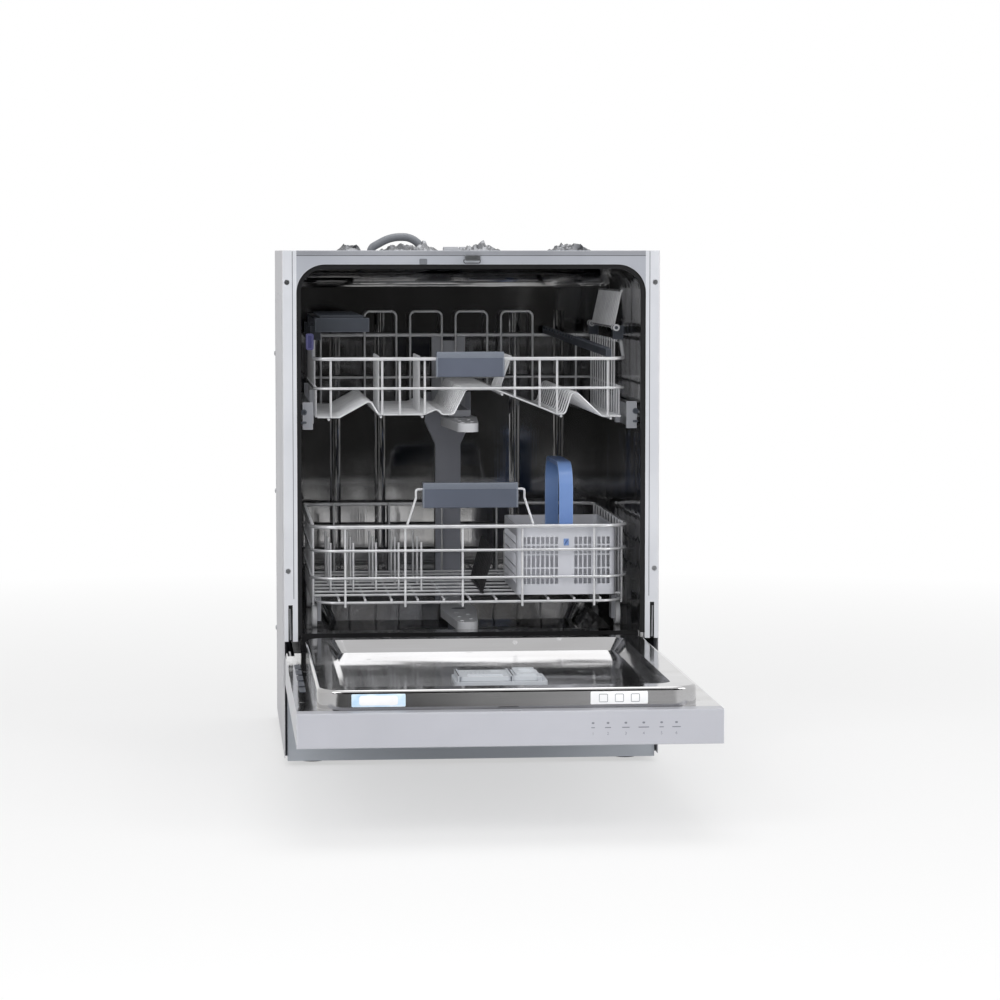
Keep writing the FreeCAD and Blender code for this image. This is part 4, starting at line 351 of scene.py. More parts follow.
def beyond(axis, level, sign=1):  # edges past a level
    return lambda a, b: (a[axis] - level) * sign > 0 and (b[axis] - level) * sign > 0


def facing(way):  # faces that look one way
    axis, sign = way
    return lambda middle, normal: normal[axis] * sign > 0.95


def bevelEdges(piece, width, steps, test=everyEdge):
    pick(piece, "EDGE", test)
    bpy.ops.mesh.bevel(offset=width, segments=steps, affect="EDGES")
    bpy.ops.object.mode_set(mode="OBJECT")


def insetFace(piece, way, look, wall=0.00005):  # a rim round the face, and its floor moved in or out
    pick(piece, "FACE", facing(way))
    bpy.ops.mesh.inset(thickness=look["rim"], depth=0.0)
    bpy.ops.mesh.inset(thickness=wall, depth=look["floor"])
    bpy.ops.object.mode_set(mode="OBJECT")


def addBar(name, low, high, look, test=everyEdge):  # block with some edges rounded
    piece = addBlock(name, low, high)
    bevelEdges(piece, look["corner"], look["steps"], test)
    return piece


def addPlate(name, low, high, look, way):  # block with round corners and a rim, seen from one way
    piece = addBar(name, low, high, look, along(way[0]))
    insetFace(piece, way, look)
    return piece


def displace(piece, name, direction, strength, texture=None, group=""):
    relief = piece.modifiers.new(name, "DISPLACE")
    relief.direction = direction
    relief.mid_level = 0.0
    relief.strength = strength
    relief.vertex_group = group
    if texture:
        relief.texture = texture
        relief.texture_coords = "LOCAL"
    bpy.ops.object.modifier_apply(modifier=name)


def thicken(piece, sheet):
    wall = piece.modifiers.new("wall", "SOLIDIFY")
    wall.thickness = sheet
    wall.offset = 1.0
    bpy.ops.object.modifier_apply(modifier="wall")


def joinPieces(parts, name):
    bpy.ops.object.select_all(action="DESELECT")
    for part in parts:
        part.select_set(True)
    bpy.context.view_layer.objects.active = parts[0]
    bpy.ops.object.join()
    parts[0].name = name
    return parts[0]


def mirrorPiece(piece, name):  # the same piece on the other side of the machine
    twin = piece.copy()
    twin.data = piece.data.copy()
    bpy.context.collection.objects.link(twin)
    makeActive(twin)
    twin.scale = (-1, 1, 1)
    namedNew(name)
    bpy.ops.object.mode_set(mode="EDIT")
    bpy.ops.mesh.select_all(action="SELECT")
    bpy.ops.mesh.normals_make_consistent(inside=False)
    bpy.ops.object.mode_set(mode="OBJECT")
    return twin


def settle(piece, body, slotName, finish=None, angle=35, keepFinish=False):
    makeActive(piece)
    bpy.ops.object.transform_apply(location=True, rotation=True, scale=True)
    bpy.ops.object.shade_smooth_by_angle(angle=math.radians(angle))
    if not keepFinish:
        piece.data.materials.clear()
        piece.data.materials.append(finishes[finish or slotName])
    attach(piece, body)


def settlePair(piece, twinName, body, slotName):  # a right-hand piece and its twin on the left
    settle(mirrorPiece(piece, twinName), body, slotName)
    settle(piece, body, slotName)


def touch(node, start, direction):  # where a line first meets a node
    found, place = nodes[node].ray_cast(Vector(start), Vector(direction))[:2]
    return place if found else None


def topOf(node, x, y):
    return touch(node, (x, y, 1.0), (0, 0, -1))


def frontOf(node, x, z):
    return touch(node, (x, -1.0, z), (0, 1, 0))


def backOf(node, x, z):
    return touch(node, (x, 1.0, z), (0, -1, 0))


def sideOf(node, sign, y, z):
    return touch(node, (sign, y, z), (-sign, 0, 0))


# roof: crumpled foil mat over the tub
roofMat = {"steps": 140, "lift": 0.0006, "fold": 0.026, "grain": 0.046, "noise": 1.2, "sheet": 0.0014,
           "clear": 0.03, "still": 0.04, "looseShare": 0.4, "hump": 0.028, "smooth": 22,
           "humps": ((-0.088, 0.175, 0.080, 0.045), (0.165, 0.150, 0.060, 0.045), (0.02, 0.150, 0.05, 0.03),
                     (-0.19, 0.16, 0.03, 0.04)),  # each with its place and its reach in x and y
           "creases": (("foldWide", 1.0, 1.0, "loose"), ("foldFine", 0.5, 0.4, "loose"),
                       ("crestWide", 0.8, 0.42, "ridge"), ("crestFine", 0.62, 0.2, "ridge"))}
low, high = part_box("roof_mat")
hoseLow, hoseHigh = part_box("hose_fittings")
mat = addSheet("roofMatFolds", (roofMat["steps"], roofMat["steps"]),
               ((low.x + high.x) / 2, (low.y + high.y) / 2, low.z + roofMat["lift"]),
               (high.x - low.x, high.y - low.y))
loose = mat.vertex_groups.new(name="loose")
ridge = mat.vertex_groups.new(name="ridge")
for point in mat.data.vertices:
    x, y = point.co.x, point.co.y
    away = max(hoseLow.x - x, x - hoseHigh.x, hoseLow.y - y, y - hoseHigh.y)
    free = min(1.0, max(roofMat["still"], away / roofMat["clear"]))
    loose.add([point.index], free * roofMat["looseShare"], "REPLACE")
    rise = max(math.exp(-((x - cx) / wx) ** 2 - ((y - cy) / wy) ** 2) for cx, cy, wx, wy in roofMat["humps"])
    ridge.add([point.index], free * rise, "REPLACE")
for name, share, grain, group in roofMat["creases"]:
    folds = bpy.data.textures.new(name, "VORONOI")  # flat facets between sharp creases
    folds.weight_1, folds.weight_2 = -1.0, 1.0
    folds.noise_scale = roofMat["grain"] * grain
    folds.noise_intensity = roofMat["noise"]
    displace(mat, name, "Z", roofMat["fold"] * share, folds, group)
displace(mat, "crest", "Z", roofMat["hump"], None, "ridge")
thicken(mat, roofMat["sheet"])
settle(mat, "cabinet", "mat_bitumen", angle=roofMat["smooth"])
print("roof mat top:", round(max(point.co.z for point in mat.data.vertices), 4))
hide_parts("roof_mat")

hoseClamp = {"x": -0.037, "radius": 0.0076, "bore": 0.00655, "length": 0.006, "sides": 32, "corner": 0.0004,
             "steps": 2}
ring = addRound("hoseClamp0", hoseClamp["radius"], hoseClamp["length"],
                (hoseClamp["x"], (hoseLow.y + hoseHigh.y) / 2, (hoseLow.z + hoseHigh.z) / 2),
                layOnX, hoseClamp["sides"])
pick(ring, "FACE", lambda middle, normal: abs(normal.x) > 0.9)
bpy.ops.mesh.inset(thickness=hoseClamp["radius"] - hoseClamp["bore"], depth=0.0)
bpy.ops.mesh.bridge_edge_loops()
bpy.ops.object.mode_set(mode="OBJECT")
bevelEdges(ring, hoseClamp["corner"], hoseClamp["steps"], lambda a, b: abs(a.x - b.x) < 1e-5)
settle(ring, "cabinet", "plain_steel")

# top rail: latch surround and a pressed clip
postFront = 0.057  # front plane of the posts and of the rail
latchFrame = {"half": 0.0135, "low": 0.7974, "high": 0.8046, "stand": 0.0006, "corner": 0.0026, "steps": 4,
              "rim": 0.0013, "floor": -0.0004, "plateSink": 0.0002}
latchFace = postFront - latchFrame["stand"]
surround = addPlate("latchSurround", (-latchFrame["half"], latchFace, latchFrame["low"]),
                    (latchFrame["half"], postFront, latchFrame["high"]), latchFrame, toFront)
settle(surround, "cabinet", "seal_black")
surround.data.materials.append(finishes["kick_grey"])
looksForward = facing(toFront)
for face in surround.data.polygons:  # paler plate inside the frame
    if looksForward(face.center, face.normal) and face.center.y > latchFace + latchFrame["plateSink"]:
        face.material_index = 1

railClip = {"x": -0.077, "z": 0.8005, "wide": 0.0125, "high": 0.009, "stand": 0.0005, "corner": 0.0018,
            "steps": 3, "rim": 0.0016, "floor": -0.0004}
railLug = {"shift": 0.0034, "half": 0.0009, "tall": 0.0028, "stand": 0.00075, "sink": 0.0002,
           "corner": 0.0002, "steps": 2}
x, z, half, tall = railClip["x"], railClip["z"], railClip["wide"] / 2, railClip["high"] / 2
parts = [addPlate("railClip", (x - half, postFront - railClip["stand"], z - tall),
                  (x + half, postFront, z + tall), railClip, toFront)]
for side in (-1, 1):
    lugX, half, tall = x + side * railLug["shift"], railLug["half"], railLug["tall"]
    parts.append(addBar(f"railLug{side}", (lugX - half, postFront - railLug["stand"], z - tall),
                        (lugX + half, postFront - railLug["sink"], z + tall), railLug))
settle(joinPieces(parts, "railClip"), "cabinet", "hose_grey")

# darker strip along the rail's top and a dark line at the fold under it, both painted shade of the rail's
# bent profile
railFoldShade = {"runs": ((-0.2765, 0.0), (0.0, 0.2765)), "line": 0.8100, "half": 0.0006, "stand": 0.0002,
            "sink": 0.0001, "corner": 0.00012, "steps": 2}
railStrip = {"top": 0.8172, "standShare": 0.6, "corner": 0.00008, "steps": 1}
strips, seams = [], []
for start, end in railFoldShade["runs"]:
    near, far = postFront - railFoldShade["stand"], postFront + railFoldShade["sink"]
    stripNear = postFront - railFoldShade["stand"] * railStrip["standShare"]
    strips.append(addBar(f"railStrip{len(strips)}", (start, stripNear, railFoldShade["line"]),
                         (end, far, railStrip["top"]), railStrip, along(0)))
    seams.append(addBar(f"railFoldShade{len(seams)}", (start, near, railFoldShade["line"] - railFoldShade["half"]),
                        (end, far, railFoldShade["line"] + railFoldShade["half"]), railFoldShade, along(0)))
# painted shade: the darker grey on the rail's top strip stands for its bent face turned from the light
settle(joinPieces(strips, "railStrips"), "cabinet", "fitting_grey")
# painted shade: a dark bead along the fold under the strip
settle(joinPieces(seams, "railFoldShades"), "cabinet", "base_grey")

# hinges: liner behind the post slot, and a strap in it
hingeSlot = {"x": 0.2885, "half": 0.0052, "low": 0.2005, "high": 0.262, "back": 0.0602, "sheet": 0.0014,
             "corner": 0.0012, "steps": 3, "rim": 0.001, "floor": 0.0005}
hingeX, hingeBack = hingeSlot["x"], hingeSlot["back"]
liner = addPlate("hingeLinerRight", (hingeX - hingeSlot["half"], hingeBack, hingeSlot["low"]),
                 (hingeX + hingeSlot["half"], hingeBack + hingeSlot["sheet"], hingeSlot["high"]),
                 hingeSlot, toFront)
settlePair(liner, "hingeLinerLeft", "cabinet", "seal_black")
hingeStrap = {"left": 0.0016, "right": 0.0012, "front": 0.0586, "gap": 0.0002, "rise": 0.002, "drop": 0.010,
              "lean": 0.0012, "corner": 0.0004, "steps": 2}
strap = addBlock("hingeStrapRight",
                 (hingeX - hingeStrap["left"], hingeStrap["front"], hingeSlot["low"] + hingeStrap["rise"]),
                 (hingeX + hingeStrap["right"], hingeBack - hingeStrap["gap"],
                  hingeSlot["high"] - hingeStrap["drop"]))
pick(strap, "FACE", facing(toTop))
bpy.ops.transform.translate(value=(hingeStrap["lean"], 0, 0))
bpy.ops.object.mode_set(mode="OBJECT")
bevelEdges(strap, hingeStrap["corner"], hingeStrap["steps"], along(2))
settlePair(strap, "hingeStrapLeft", "cabinet", "plain_steel")
print("cabinet trim made")

# door: dark slots along the flange, painted shade inside the openings, plates on the raised band, marks on
# the control face
# painted shade: dark plates stand for the shadow inside the flange's slots
flangeSlot = {"x": 0.2825, "half": 0.0046, "starts": (-0.085, -0.150, -0.215, -0.280, -0.345),
              "length": 0.050, "probe": 0.02, "stand": 0.0005, "corner": 0.003, "steps": 4, "rim": 0.0012,
              "floor": -0.0003}
slots = []
for index, y in enumerate(flangeSlot["starts"]):
    x = flangeSlot["x"]
    top = topOf("door_liner", x, y - flangeSlot["probe"]).z
    slots.append(addPlate(f"flangeSlot{index}", (x - flangeSlot["half"], y - flangeSlot["length"], top),
                          (x + flangeSlot["half"], y, top + flangeSlot["stand"]), flangeSlot, toTop))
settlePair(joinPieces(slots, "flangeSlotsRight"), "flangeSlotsLeft", "door", "shelf_dark")

bandPlates = {"Left": {"span": (-0.2206, -0.1454), "finish": "plateBlue"},
              "Right": {"span": (0.1134, 0.1941), "finish": "plateWhite"},
              "rise": (0.1855, 0.2035), "sheet": 0.00025, "sink": 0.0002, "corner": 0.0015, "steps": 3,
              "rim": 0.0008, "floor": 0.00004}
plateField = {"side": 0.0105, "end": 0.0022, "stand": 0.00042, "sink": 0.0002, "corner": 0.0040, "steps": 6,
              "rim": 0.0006, "floor": 0.00004}
plateSquares = {"count": 3, "first": 0.018, "pitch": 0.0225, "half": 0.0062, "low": 0.0028, "high": 0.0036,
                "stand": 0.00042, "sink": 0.0002, "corner": 0.0016, "steps": 3, "rim": 0.0007,
                "floor": -0.00016}
base, crown = bandPlates["rise"]
for side in ("Left", "Right"):
    start, end = bandPlates[side]["span"]
    front = min(frontOf("door_liner", x, z).y for x in (start, end) for z in (base, crown))
    plate = addPlate(f"bandPlate{side}", (start, front - bandPlates["sheet"], base),
                     (end, front + bandPlates["sink"], crown), bandPlates, toFront)
    settle(plate, "door", "control_face", bandPlates[side]["finish"])
    if side == "Left":  # a bare paler field inside the blue
        field = addPlate("plateField",
                         (start + plateField["side"], front - plateField["stand"], base + plateField["end"]),
                         (end - plateField["side"], front - plateField["sink"], crown - plateField["end"]),
                         plateField, toFront)
        settle(field, "door", "control_face", "plateWhite")
    else:  # plain squares
        squares = []
        for index in range(plateSquares["count"]):
            x = start + plateSquares["first"] + plateSquares["pitch"] * index
            squares.append(addPlate(
                f"plateSquare{index}",
                (x - plateSquares["half"], front - plateSquares["stand"], base + plateSquares["low"]),
                (x + plateSquares["half"], front - plateSquares["sink"], crown - plateSquares["high"]),
                plateSquares, toFront))
        settle(joinPieces(squares, "plateSquares"), "door", "control_face", "markInk")

controlMarks = {"front": -0.617, "columns": (0.1134, 0.1343, 0.1593, 0.1844, 0.2094, 0.2303),
                "print": 0.00014, "sink": 0.0001, "numberZ": 0.1482, "numberLift": 0.00002, "number": 0.0058}
markLamp = {"z": 0.1632, "half": 0.0019, "tall": 0.0014, "corner": 0.0012, "steps": 4, "rim": 0.0006,
            "floor": -0.0001}
markBar = {"z": 0.1568, "widths": (0.0052, 0.0085, 0.0105, 0.0150, 0.0062, 0.0120), "tall": 0.0007,
           "corner": 0.0005, "steps": 3}
near = controlMarks["front"] - controlMarks["print"]
far = controlMarks["front"] + controlMarks["sink"]
marks = []
for index, x in enumerate(controlMarks["columns"]):
    marks.append(addPlate(f"markLamp{index}", (x - markLamp["half"], near, markLamp["z"] - markLamp["tall"]),
                          (x + markLamp["half"], far, markLamp["z"] + markLamp["tall"]), markLamp, toFront))
    half = markBar["widths"][index] / 2
    marks.append(addBar(f"markBar{index}", (x - half, near, markBar["z"] - markBar["tall"]),
                        (x + half, far, markBar["z"] + markBar["tall"]), markBar, along(1)))
    bpy.ops.object.select_all(action="DESELECT")
    numberPlace = (x, controlMarks["front"] - controlMarks["numberLift"], controlMarks["numberZ"])
    bpy.ops.object.text_add(location=numberPlace, rotation=layOnY)
    figure = bpy.context.object
    figure.data.body = str(index + 1)
    figure.data.size = controlMarks["number"]
    figure.data.align_x = "CENTER"
    figure.data.align_y = "CENTER"
    figure.data.extrude = controlMarks["print"] / 2
    bpy.ops.object.convert(target="MESH")
    marks.append(namedNew(f"markNumber{index}"))
settle(joinPieces(marks, "controlMarks"), "door", "control_face", "markInk")

# dispenser: finger ribs and a pad on the lid, dial on the rinse cap, dark strips beside the lid as painted
# shadow in its gaps
lidRibs = {"count": 5, "first": 0.016, "pitch": 0.006, "wide": 0.0022, "reach": 0.030, "stand": 0.0012,
           "sink": 0.0003, "corner": 0.0007, "steps": 3}
low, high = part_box("detergent_lid")
middle = (low.y + high.y) / 2
parts = []
for index in range(lidRibs["count"]):
    x = low.x + lidRibs["first"] + lidRibs["pitch"] * index
    top = topOf("detergent_lid", x, middle).z
    parts.append(addBar(f"lidRib{index}",
                        (x - lidRibs["wide"] / 2, middle - lidRibs["reach"] / 2, top - lidRibs["sink"]),
                        (x + lidRibs["wide"] / 2, middle + lidRibs["reach"] / 2, top + lidRibs["stand"]),
                        lidRibs))
lidPad = {"probe": 0.066, "left": 0.048, "right": 0.010, "end": 0.016, "stand": 0.0008, "sink": 0.0003,
          "corner": 0.006, "steps": 5, "rim": 0.0022, "floor": -0.0006}
top = topOf("detergent_lid", low.x + lidPad["probe"], middle).z
parts.append(addPlate("lidPad", (low.x + lidPad["left"], low.y + lidPad["end"], top - lidPad["sink"]),
                      (high.x - lidPad["right"], high.y - lidPad["end"], top + lidPad["stand"]),
                      lidPad, toTop))
settle(joinPieces(parts, "lidRibs"), "detergent_lid", "lid_grey")

rinseDial = {"radius": 0.0125, "stand": 0.0016, "sink": 0.0002, "sides": 40, "rim": 0.0022, "floor": -0.0009,
             "corner": 0.0003, "steps": 2}
rinseGrip = {"long": 0.0085, "half": 0.0016, "sink": 0.0001, "stand": 0.0021, "corner": 0.0007, "steps": 3}
low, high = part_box("rinse_aid_cap")
x, y = (low.x + high.x) / 2, (low.y + high.y) / 2
top = topOf("rinse_aid_cap", x, y).z
dial = addRound("rinseDial", rinseDial["radius"], rinseDial["stand"],
                (x, y, top + rinseDial["stand"] / 2 - rinseDial["sink"]), (0, 0, 0), rinseDial["sides"])
insetFace(dial, toTop, rinseDial)
bevelEdges(dial, rinseDial["corner"], rinseDial["steps"], lambda a, b: abs(a.z - b.z) < 1e-6 and a.z > top)
grip = addBar("rinseGrip", (x - rinseGrip["long"], y - rinseGrip["half"], top - rinseGrip["sink"]),
              (x + rinseGrip["long"], y + rinseGrip["half"], top + rinseGrip["stand"]), rinseGrip)
settle(joinPieces([dial, grip], "rinseDial"), "rinse_cap", "lid_grey")

# painted shadow: dark strips on the housing where the lid's gaps fall in shade
lidSeams = {"gap": 0.0012, "wide": 0.0015, "stand": 0.0003, "sink": 0.0001, "end": 0.0065, "corner": 0.0002,
            "steps": 2}
low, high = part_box("dispenser_housing")
lidLow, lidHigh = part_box("detergent_lid")
seams = []
for x in (lidLow.x - lidSeams["gap"], lidHigh.x + lidSeams["gap"]):
    top = topOf("dispenser_housing", x, (low.y + high.y) / 2).z
    seams.append(addBar(f"lidSeam{len(seams)}",
                        (x - lidSeams["wide"] / 2, low.y + lidSeams["end"], top - lidSeams["sink"]),
                        (x + lidSeams["wide"] / 2, high.y - lidSeams["end"], top + lidSeams["stand"]),
                        lidSeams, along(1)))
settle(joinPieces(seams, "lidSeams"), "door", "seal_black")
print("door trim made")

# racks: lips on the handles in a painted highlight tone, tag on the basket, ribs on shelf and comb, clip on
# the rim, rail cap marks
handleLip = {"inset": 0.0004, "stand": 0.0026, "depth": 0.0016, "rise": 0.010, "over": 0.0004,
             "slopeFrom": 0.008, "slopeShare": 0.85, "corner": 0.0011, "steps": 3}
handleCheek = {"out": 0.0006, "in": 0.0022, "stand": 0.0009, "depth": 0.0150, "foot": 0.0006, "lap": 0.001,
               "corner": 0.0008, "steps": 3}
for node, body, name in (("upper_handle", "upper_rack", "upperHandleLip"),
                         ("lower_handle", "lower_rack", "lowerHandleLip")):
    low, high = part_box(node)
    lip = addBlock(name, (low.x + handleLip["inset"], low.y - handleLip["stand"], high.z - handleLip["rise"]),
                   (high.x - handleLip["inset"], low.y + handleLip["depth"], high.z + handleLip["over"]))
    under, ahead = beyond(2, high.z - handleLip["slopeFrom"], -1), beyond(1, low.y, -1)
    pick(lip, "EDGE", lambda a, b: under(a, b) and ahead(a, b))
    bpy.ops.transform.translate(value=(0, handleLip["stand"] * handleLip["slopeShare"], 0))
    bpy.ops.object.mode_set(mode="OBJECT")
    bevelEdges(lip, handleLip["corner"], handleLip["steps"], along(0))
    parts = [lip]
    for side in (-1, 1):
        edge = high.x if side > 0 else low.x
        near, far = sorted((edge + side * handleCheek["out"], edge - side * handleCheek["in"]))
        cheekTop = high.z - handleLip["rise"] + handleCheek["lap"]
        parts.append(addBar(f"{name}Cheek{side}",
                            (near, low.y - handleCheek["stand"], low.z + handleCheek["foot"]),
                            (far, low.y + handleCheek["depth"], cheekTop), handleCheek))
    # painted highlight: the lip and its cheeks take the paler slate
    settle(joinPieces(parts, name), body, "handle_slate", "handleSlateHighlight")

basketTag = {"half": 0.0042, "high": 0.011, "stand": 0.0011, "sink": 0.0002, "drop": 0.020, "corner": 0.0010,
             "steps": 3, "rim": 0.0013, "floor": -0.0006}
low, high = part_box("cutlery_basket")
x = (low.x + high.x) / 2
top = high.z - basketTag["drop"]
front = frontOf("cutlery_basket", x, top).y
tag = addPlate("basketTag", (x - basketTag["half"], front - basketTag["stand"], top - basketTag["high"]),
               (x + basketTag["half"], front + basketTag["sink"], top), basketTag, toFront)
settle(tag, "lower_rack", "basket_blue")

shelfRibs = {"pitch": 0.0165, "first": 0.006, "wide": 0.0026, "stand": 0.0042, "sink": 0.0004,
             "margin": 0.009, "slotDrop": 0.003, "bevelFrom": 0.001, "corner": 0.0009, "steps": 2}
low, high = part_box("cup_shelf_left")
ribs = []
for step in range(int((high.y - low.y - 2 * shelfRibs["margin"]) / shelfRibs["pitch"])):
    y = low.y + shelfRibs["margin"] + shelfRibs["first"] + shelfRibs["pitch"] * step
    place = topOf("cup_shelf_left", (low.x + high.x) / 2, y)
    if place is None or place.z < high.z - shelfRibs["slotDrop"]:  # over one of the shelf's slots
        continue
    margin, half = shelfRibs["margin"], shelfRibs["wide"] / 2
    ribs.append(addBar(f"shelfRib{step}", (low.x + margin, y - half, place.z - shelfRibs["sink"]),
                       (high.x - margin, y + half, place.z + shelfRibs["stand"]),
                       shelfRibs, beyond(2, place.z + shelfRibs["bevelFrom"])))
settle(joinPieces(ribs, "shelfRibs"), "cup_shelf_left", "shelf_dark")

rimClip = {"low": (-0.2605, 0.112, 0.660), "high": (-0.2485, 0.132, 0.686), "corner": 0.003, "steps": 4,
           "rim": 0.0022, "floor": -0.0016}
clip = addPlate("rimClip", rimClip["low"], rimClip["high"], rimClip, toFront)
settle(clip, "upper_rack", "basket_blue", "clipViolet")

combRibs = {"front": (0.2213, 0.091), "back": (0.1687, 0.560), "first": 0.100, "pitch": 0.0082, "count": 27,
            "half": 0.0042, "wide": 0.0030, "stand": 0.0020, "sink": 0.0006, "bevelFrom": 0.001,
            "corner": 0.0008, "steps": 2}
(frontX, frontY), (backX, backY) = combRibs["front"], combRibs["back"]
lean = (backX - frontX) / (backY - frontY)
ribs = []
for step in range(combRibs["count"]):
    y = combRibs["first"] + combRibs["pitch"] * step
    x = frontX + lean * (y - frontY)
    place = topOf("glass_comb", x, y)
    if place is None:
        continue
    ribs.append(addBar(f"combRib{step}",
                       (x - combRibs["half"], y - combRibs["wide"] / 2, place.z - combRibs["sink"]),
                       (x + combRibs["half"], y + combRibs["wide"] / 2, place.z + combRibs["stand"]),
                       combRibs, beyond(2, place.z + combRibs["bevelFrom"])))
settle(joinPieces(ribs, "combRibs"), "upper_rack", "shelf_dark")

capMarks = {"x": 0.2650, "rise": 0.5620, "radius": 0.0048, "sides": 28, "stand": 0.0007, "sink": 0.0002,
            "slotDrop": 0.0165, "slotHalf": (0.0042, 0.0018), "corner": 0.0014, "steps": 4, "rim": 0.0010,
            "floor": -0.0004}
marks = []
for sign in (-1, 1):
    place = frontOf("rail_fittings", sign * capMarks["x"], capMarks["rise"])
    roundMark = addRound(f"capMark{len(marks)}", capMarks["radius"], capMarks["stand"] + capMarks["sink"],
                         (place.x, place.y - (capMarks["stand"] - capMarks["sink"]) / 2, place.z), layOnY,
                         capMarks["sides"])
    insetFace(roundMark, toFront, capMarks)
    marks.append(roundMark)
    place = frontOf("rail_fittings", sign * capMarks["x"], capMarks["rise"] - capMarks["slotDrop"])
    wide, tall = capMarks["slotHalf"]
    marks.append(addPlate(f"capMark{len(marks)}",
                          (place.x - wide, place.y - capMarks["stand"], place.z - tall),
                          (place.x + wide, place.y + capMarks["sink"], place.z + tall), capMarks, toFront))
settle(joinPieces(marks, "railCapMarks"), "upper_rack", "shelf_dark")

# wheels and arms: hubs with spokes, nozzles
wheelHub = {"radius": 0.0072, "stand": 0.0013, "sink": 0.0002, "sides": 28, "probe": 0.0045, "rim": 0.0016,
            "floor": -0.0006}
wheelSpoke = {"count": 6, "lap": 0.0006, "reachShare": 0.8, "low": 0.0003, "high": 0.0005, "half": 0.0008,
              "leftSink": 0.0002, "corner": 0.0003, "steps": 2}
for end in ("front", "rear"):
    for side, sign in (("left", -1), ("right", 1)):
        name = f"rack_wheel_{end}_{side}"
        low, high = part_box(name)
        y, z = (low.y + high.y) / 2, (low.z + high.z) / 2
        face = sideOf(name, sign, y + wheelHub["probe"], z).x
        hub = addRound(f"wheelHub{end.title()}{side.title()}", wheelHub["radius"], wheelHub["stand"],
                       (face + sign * (wheelHub["stand"] / 2 - wheelHub["sink"]), y, z), layOnX,
                       wheelHub["sides"])
        insetFace(hub, (0, sign), wheelHub)
        parts = [hub]
        reach = min(high.y - y, high.z - z) * wheelSpoke["reachShare"]
        for index in range(wheelSpoke["count"]):
            spoke = addBar(f"spoke{index}",
                           (-wheelSpoke["low"], wheelHub["radius"] - wheelSpoke["lap"], -wheelSpoke["half"]),
                           (wheelSpoke["high"], reach, wheelSpoke["half"]), wheelSpoke)
            spoke.rotation_euler = (2 * math.pi * index / wheelSpoke["count"], 0, 0)
            spoke.location = (face if sign > 0 else face - wheelSpoke["leftSink"], y, z)
            parts.append(spoke)
        settle(joinPieces(parts, hub.name), name, "roller_white")

armNozzles = {"reach": (0.062, 0.094, 0.126, 0.158, 0.184), "side": 0.0085, "radius": 0.0036, "stand": 0.0012,
              "sink": 0.0002, "sides": 18, "edgeDrop": 0.006, "rim": 0.0014, "floor": -0.0009}
for node, body, name in (("lower_spray_arm", "lower_arm", "lowerNozzles"),
                         ("upper_spray_arm", "upper_arm", "upperNozzles")):
    low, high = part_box(node)
    middle = (low.y + high.y) / 2
    jets = []
    for index, reach in enumerate(armNozzles["reach"]):
        for way in (-1, 1):
            x = armNozzles["side"] * (-1) ** index * way
            place = topOf(node, x, middle + way * reach)
            if place is None or place.z < high.z - armNozzles["edgeDrop"]:  # past the arm's flat top
                continue
            jet = addRound(f"{node}Jet{len(jets)}", armNozzles["radius"], armNozzles["stand"],
                           (x, place.y, place.z + armNozzles["stand"] / 2 - armNozzles["sink"]), (0, 0, 0),
                           armNozzles["sides"])
            insetFace(jet, toTop, armNozzles)
            jets.append(jet)
    settle(joinPieces(jets, name), body, "arm_pale")
print("rack trim made")

# outside: dark lines at the posts' folds as painted shade, pressed frames on the sides, pads, screws with
# black crosses as painted shade, and a bare plate at the back
# painted shade: a dark line on each post where its sheet folds
postLine = {"x": 0.2832, "half": 0.0005, "low": 0.268, "high": 0.8165, "stand": 0.00016, "sink": 0.0001,
            "corner": 0.00012, "steps": 1}
line = addBar("postLineRight",
              (postLine["x"] - postLine["half"], postFront - postLine["stand"], postLine["low"]),
              (postLine["x"] + postLine["half"], postFront + postLine["sink"], postLine["high"]),
              postLine, along(2))
settlePair(line, "postLineLeft", "cabinet", "base_grey")

sideFrame = {"low": (0.105, 0.115), "high": (0.570, 0.745), "stand": 0.0010, "sink": 0.0002, "corner": 0.035,
             "steps": 8, "rim": 0.011, "floor": -0.0008, "softFrom": 0.0009, "soft": 0.0005, "softSteps": 2}
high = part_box("side_panels")[1]
panel = addPlate("sideFrameRight", (high.x - sideFrame["sink"], *sideFrame["low"]),
                 (high.x + sideFrame["stand"], *sideFrame["high"]), sideFrame, toRight)
bevelEdges(panel, sideFrame["soft"], sideFrame["softSteps"], beyond(0, high.x + sideFrame["softFrom"]))
settlePair(panel, "sideFrameLeft", "cabinet", "side_paint")

backPad = {"spans": ((-0.215, -0.012), (0.062, 0.215)), "rise": (0.36, 0.70), "steps": (40, 60),
           "sheet": 0.0022, "ripple": 0.0022, "lumps": 0.05, "stand": 0.0004, "smooth": 50}
base, crown = backPad["rise"]
pads = []
for start, end in backPad["spans"]:
    back = max(backOf("tub_back", x, z).y for x in (start, end) for z in (base, crown))
    pad = addSheet(f"backPad{len(pads)}", backPad["steps"],
                   ((start + end) / 2, back + backPad["stand"], (base + crown) / 2),
                   (end - start, crown - base), (math.radians(-90), 0, 0))
    lumps = bpy.data.textures.new(f"padLumps{len(pads)}", "CLOUDS")
    lumps.noise_scale = backPad["lumps"]
    displace(pad, "ripple", "Y", backPad["ripple"], lumps)
    thicken(pad, backPad["sheet"])
    pads.append(pad)
settle(joinPieces(pads, "backPads"), "cabinet", "mat_bitumen", "padBitumen", backPad["smooth"])

panScrew = {"radius": 0.0042, "stand": 0.0022, "sink": 0.0002, "sides": 24, "crownFrom": 0.4,
            "corner": 0.0011, "steps": 3}
crossBar = {"wide": 0.0011, "longShare": 0.55, "half": 0.0002, "sink": 0.00012, "corner": 0.0001, "steps": 1}


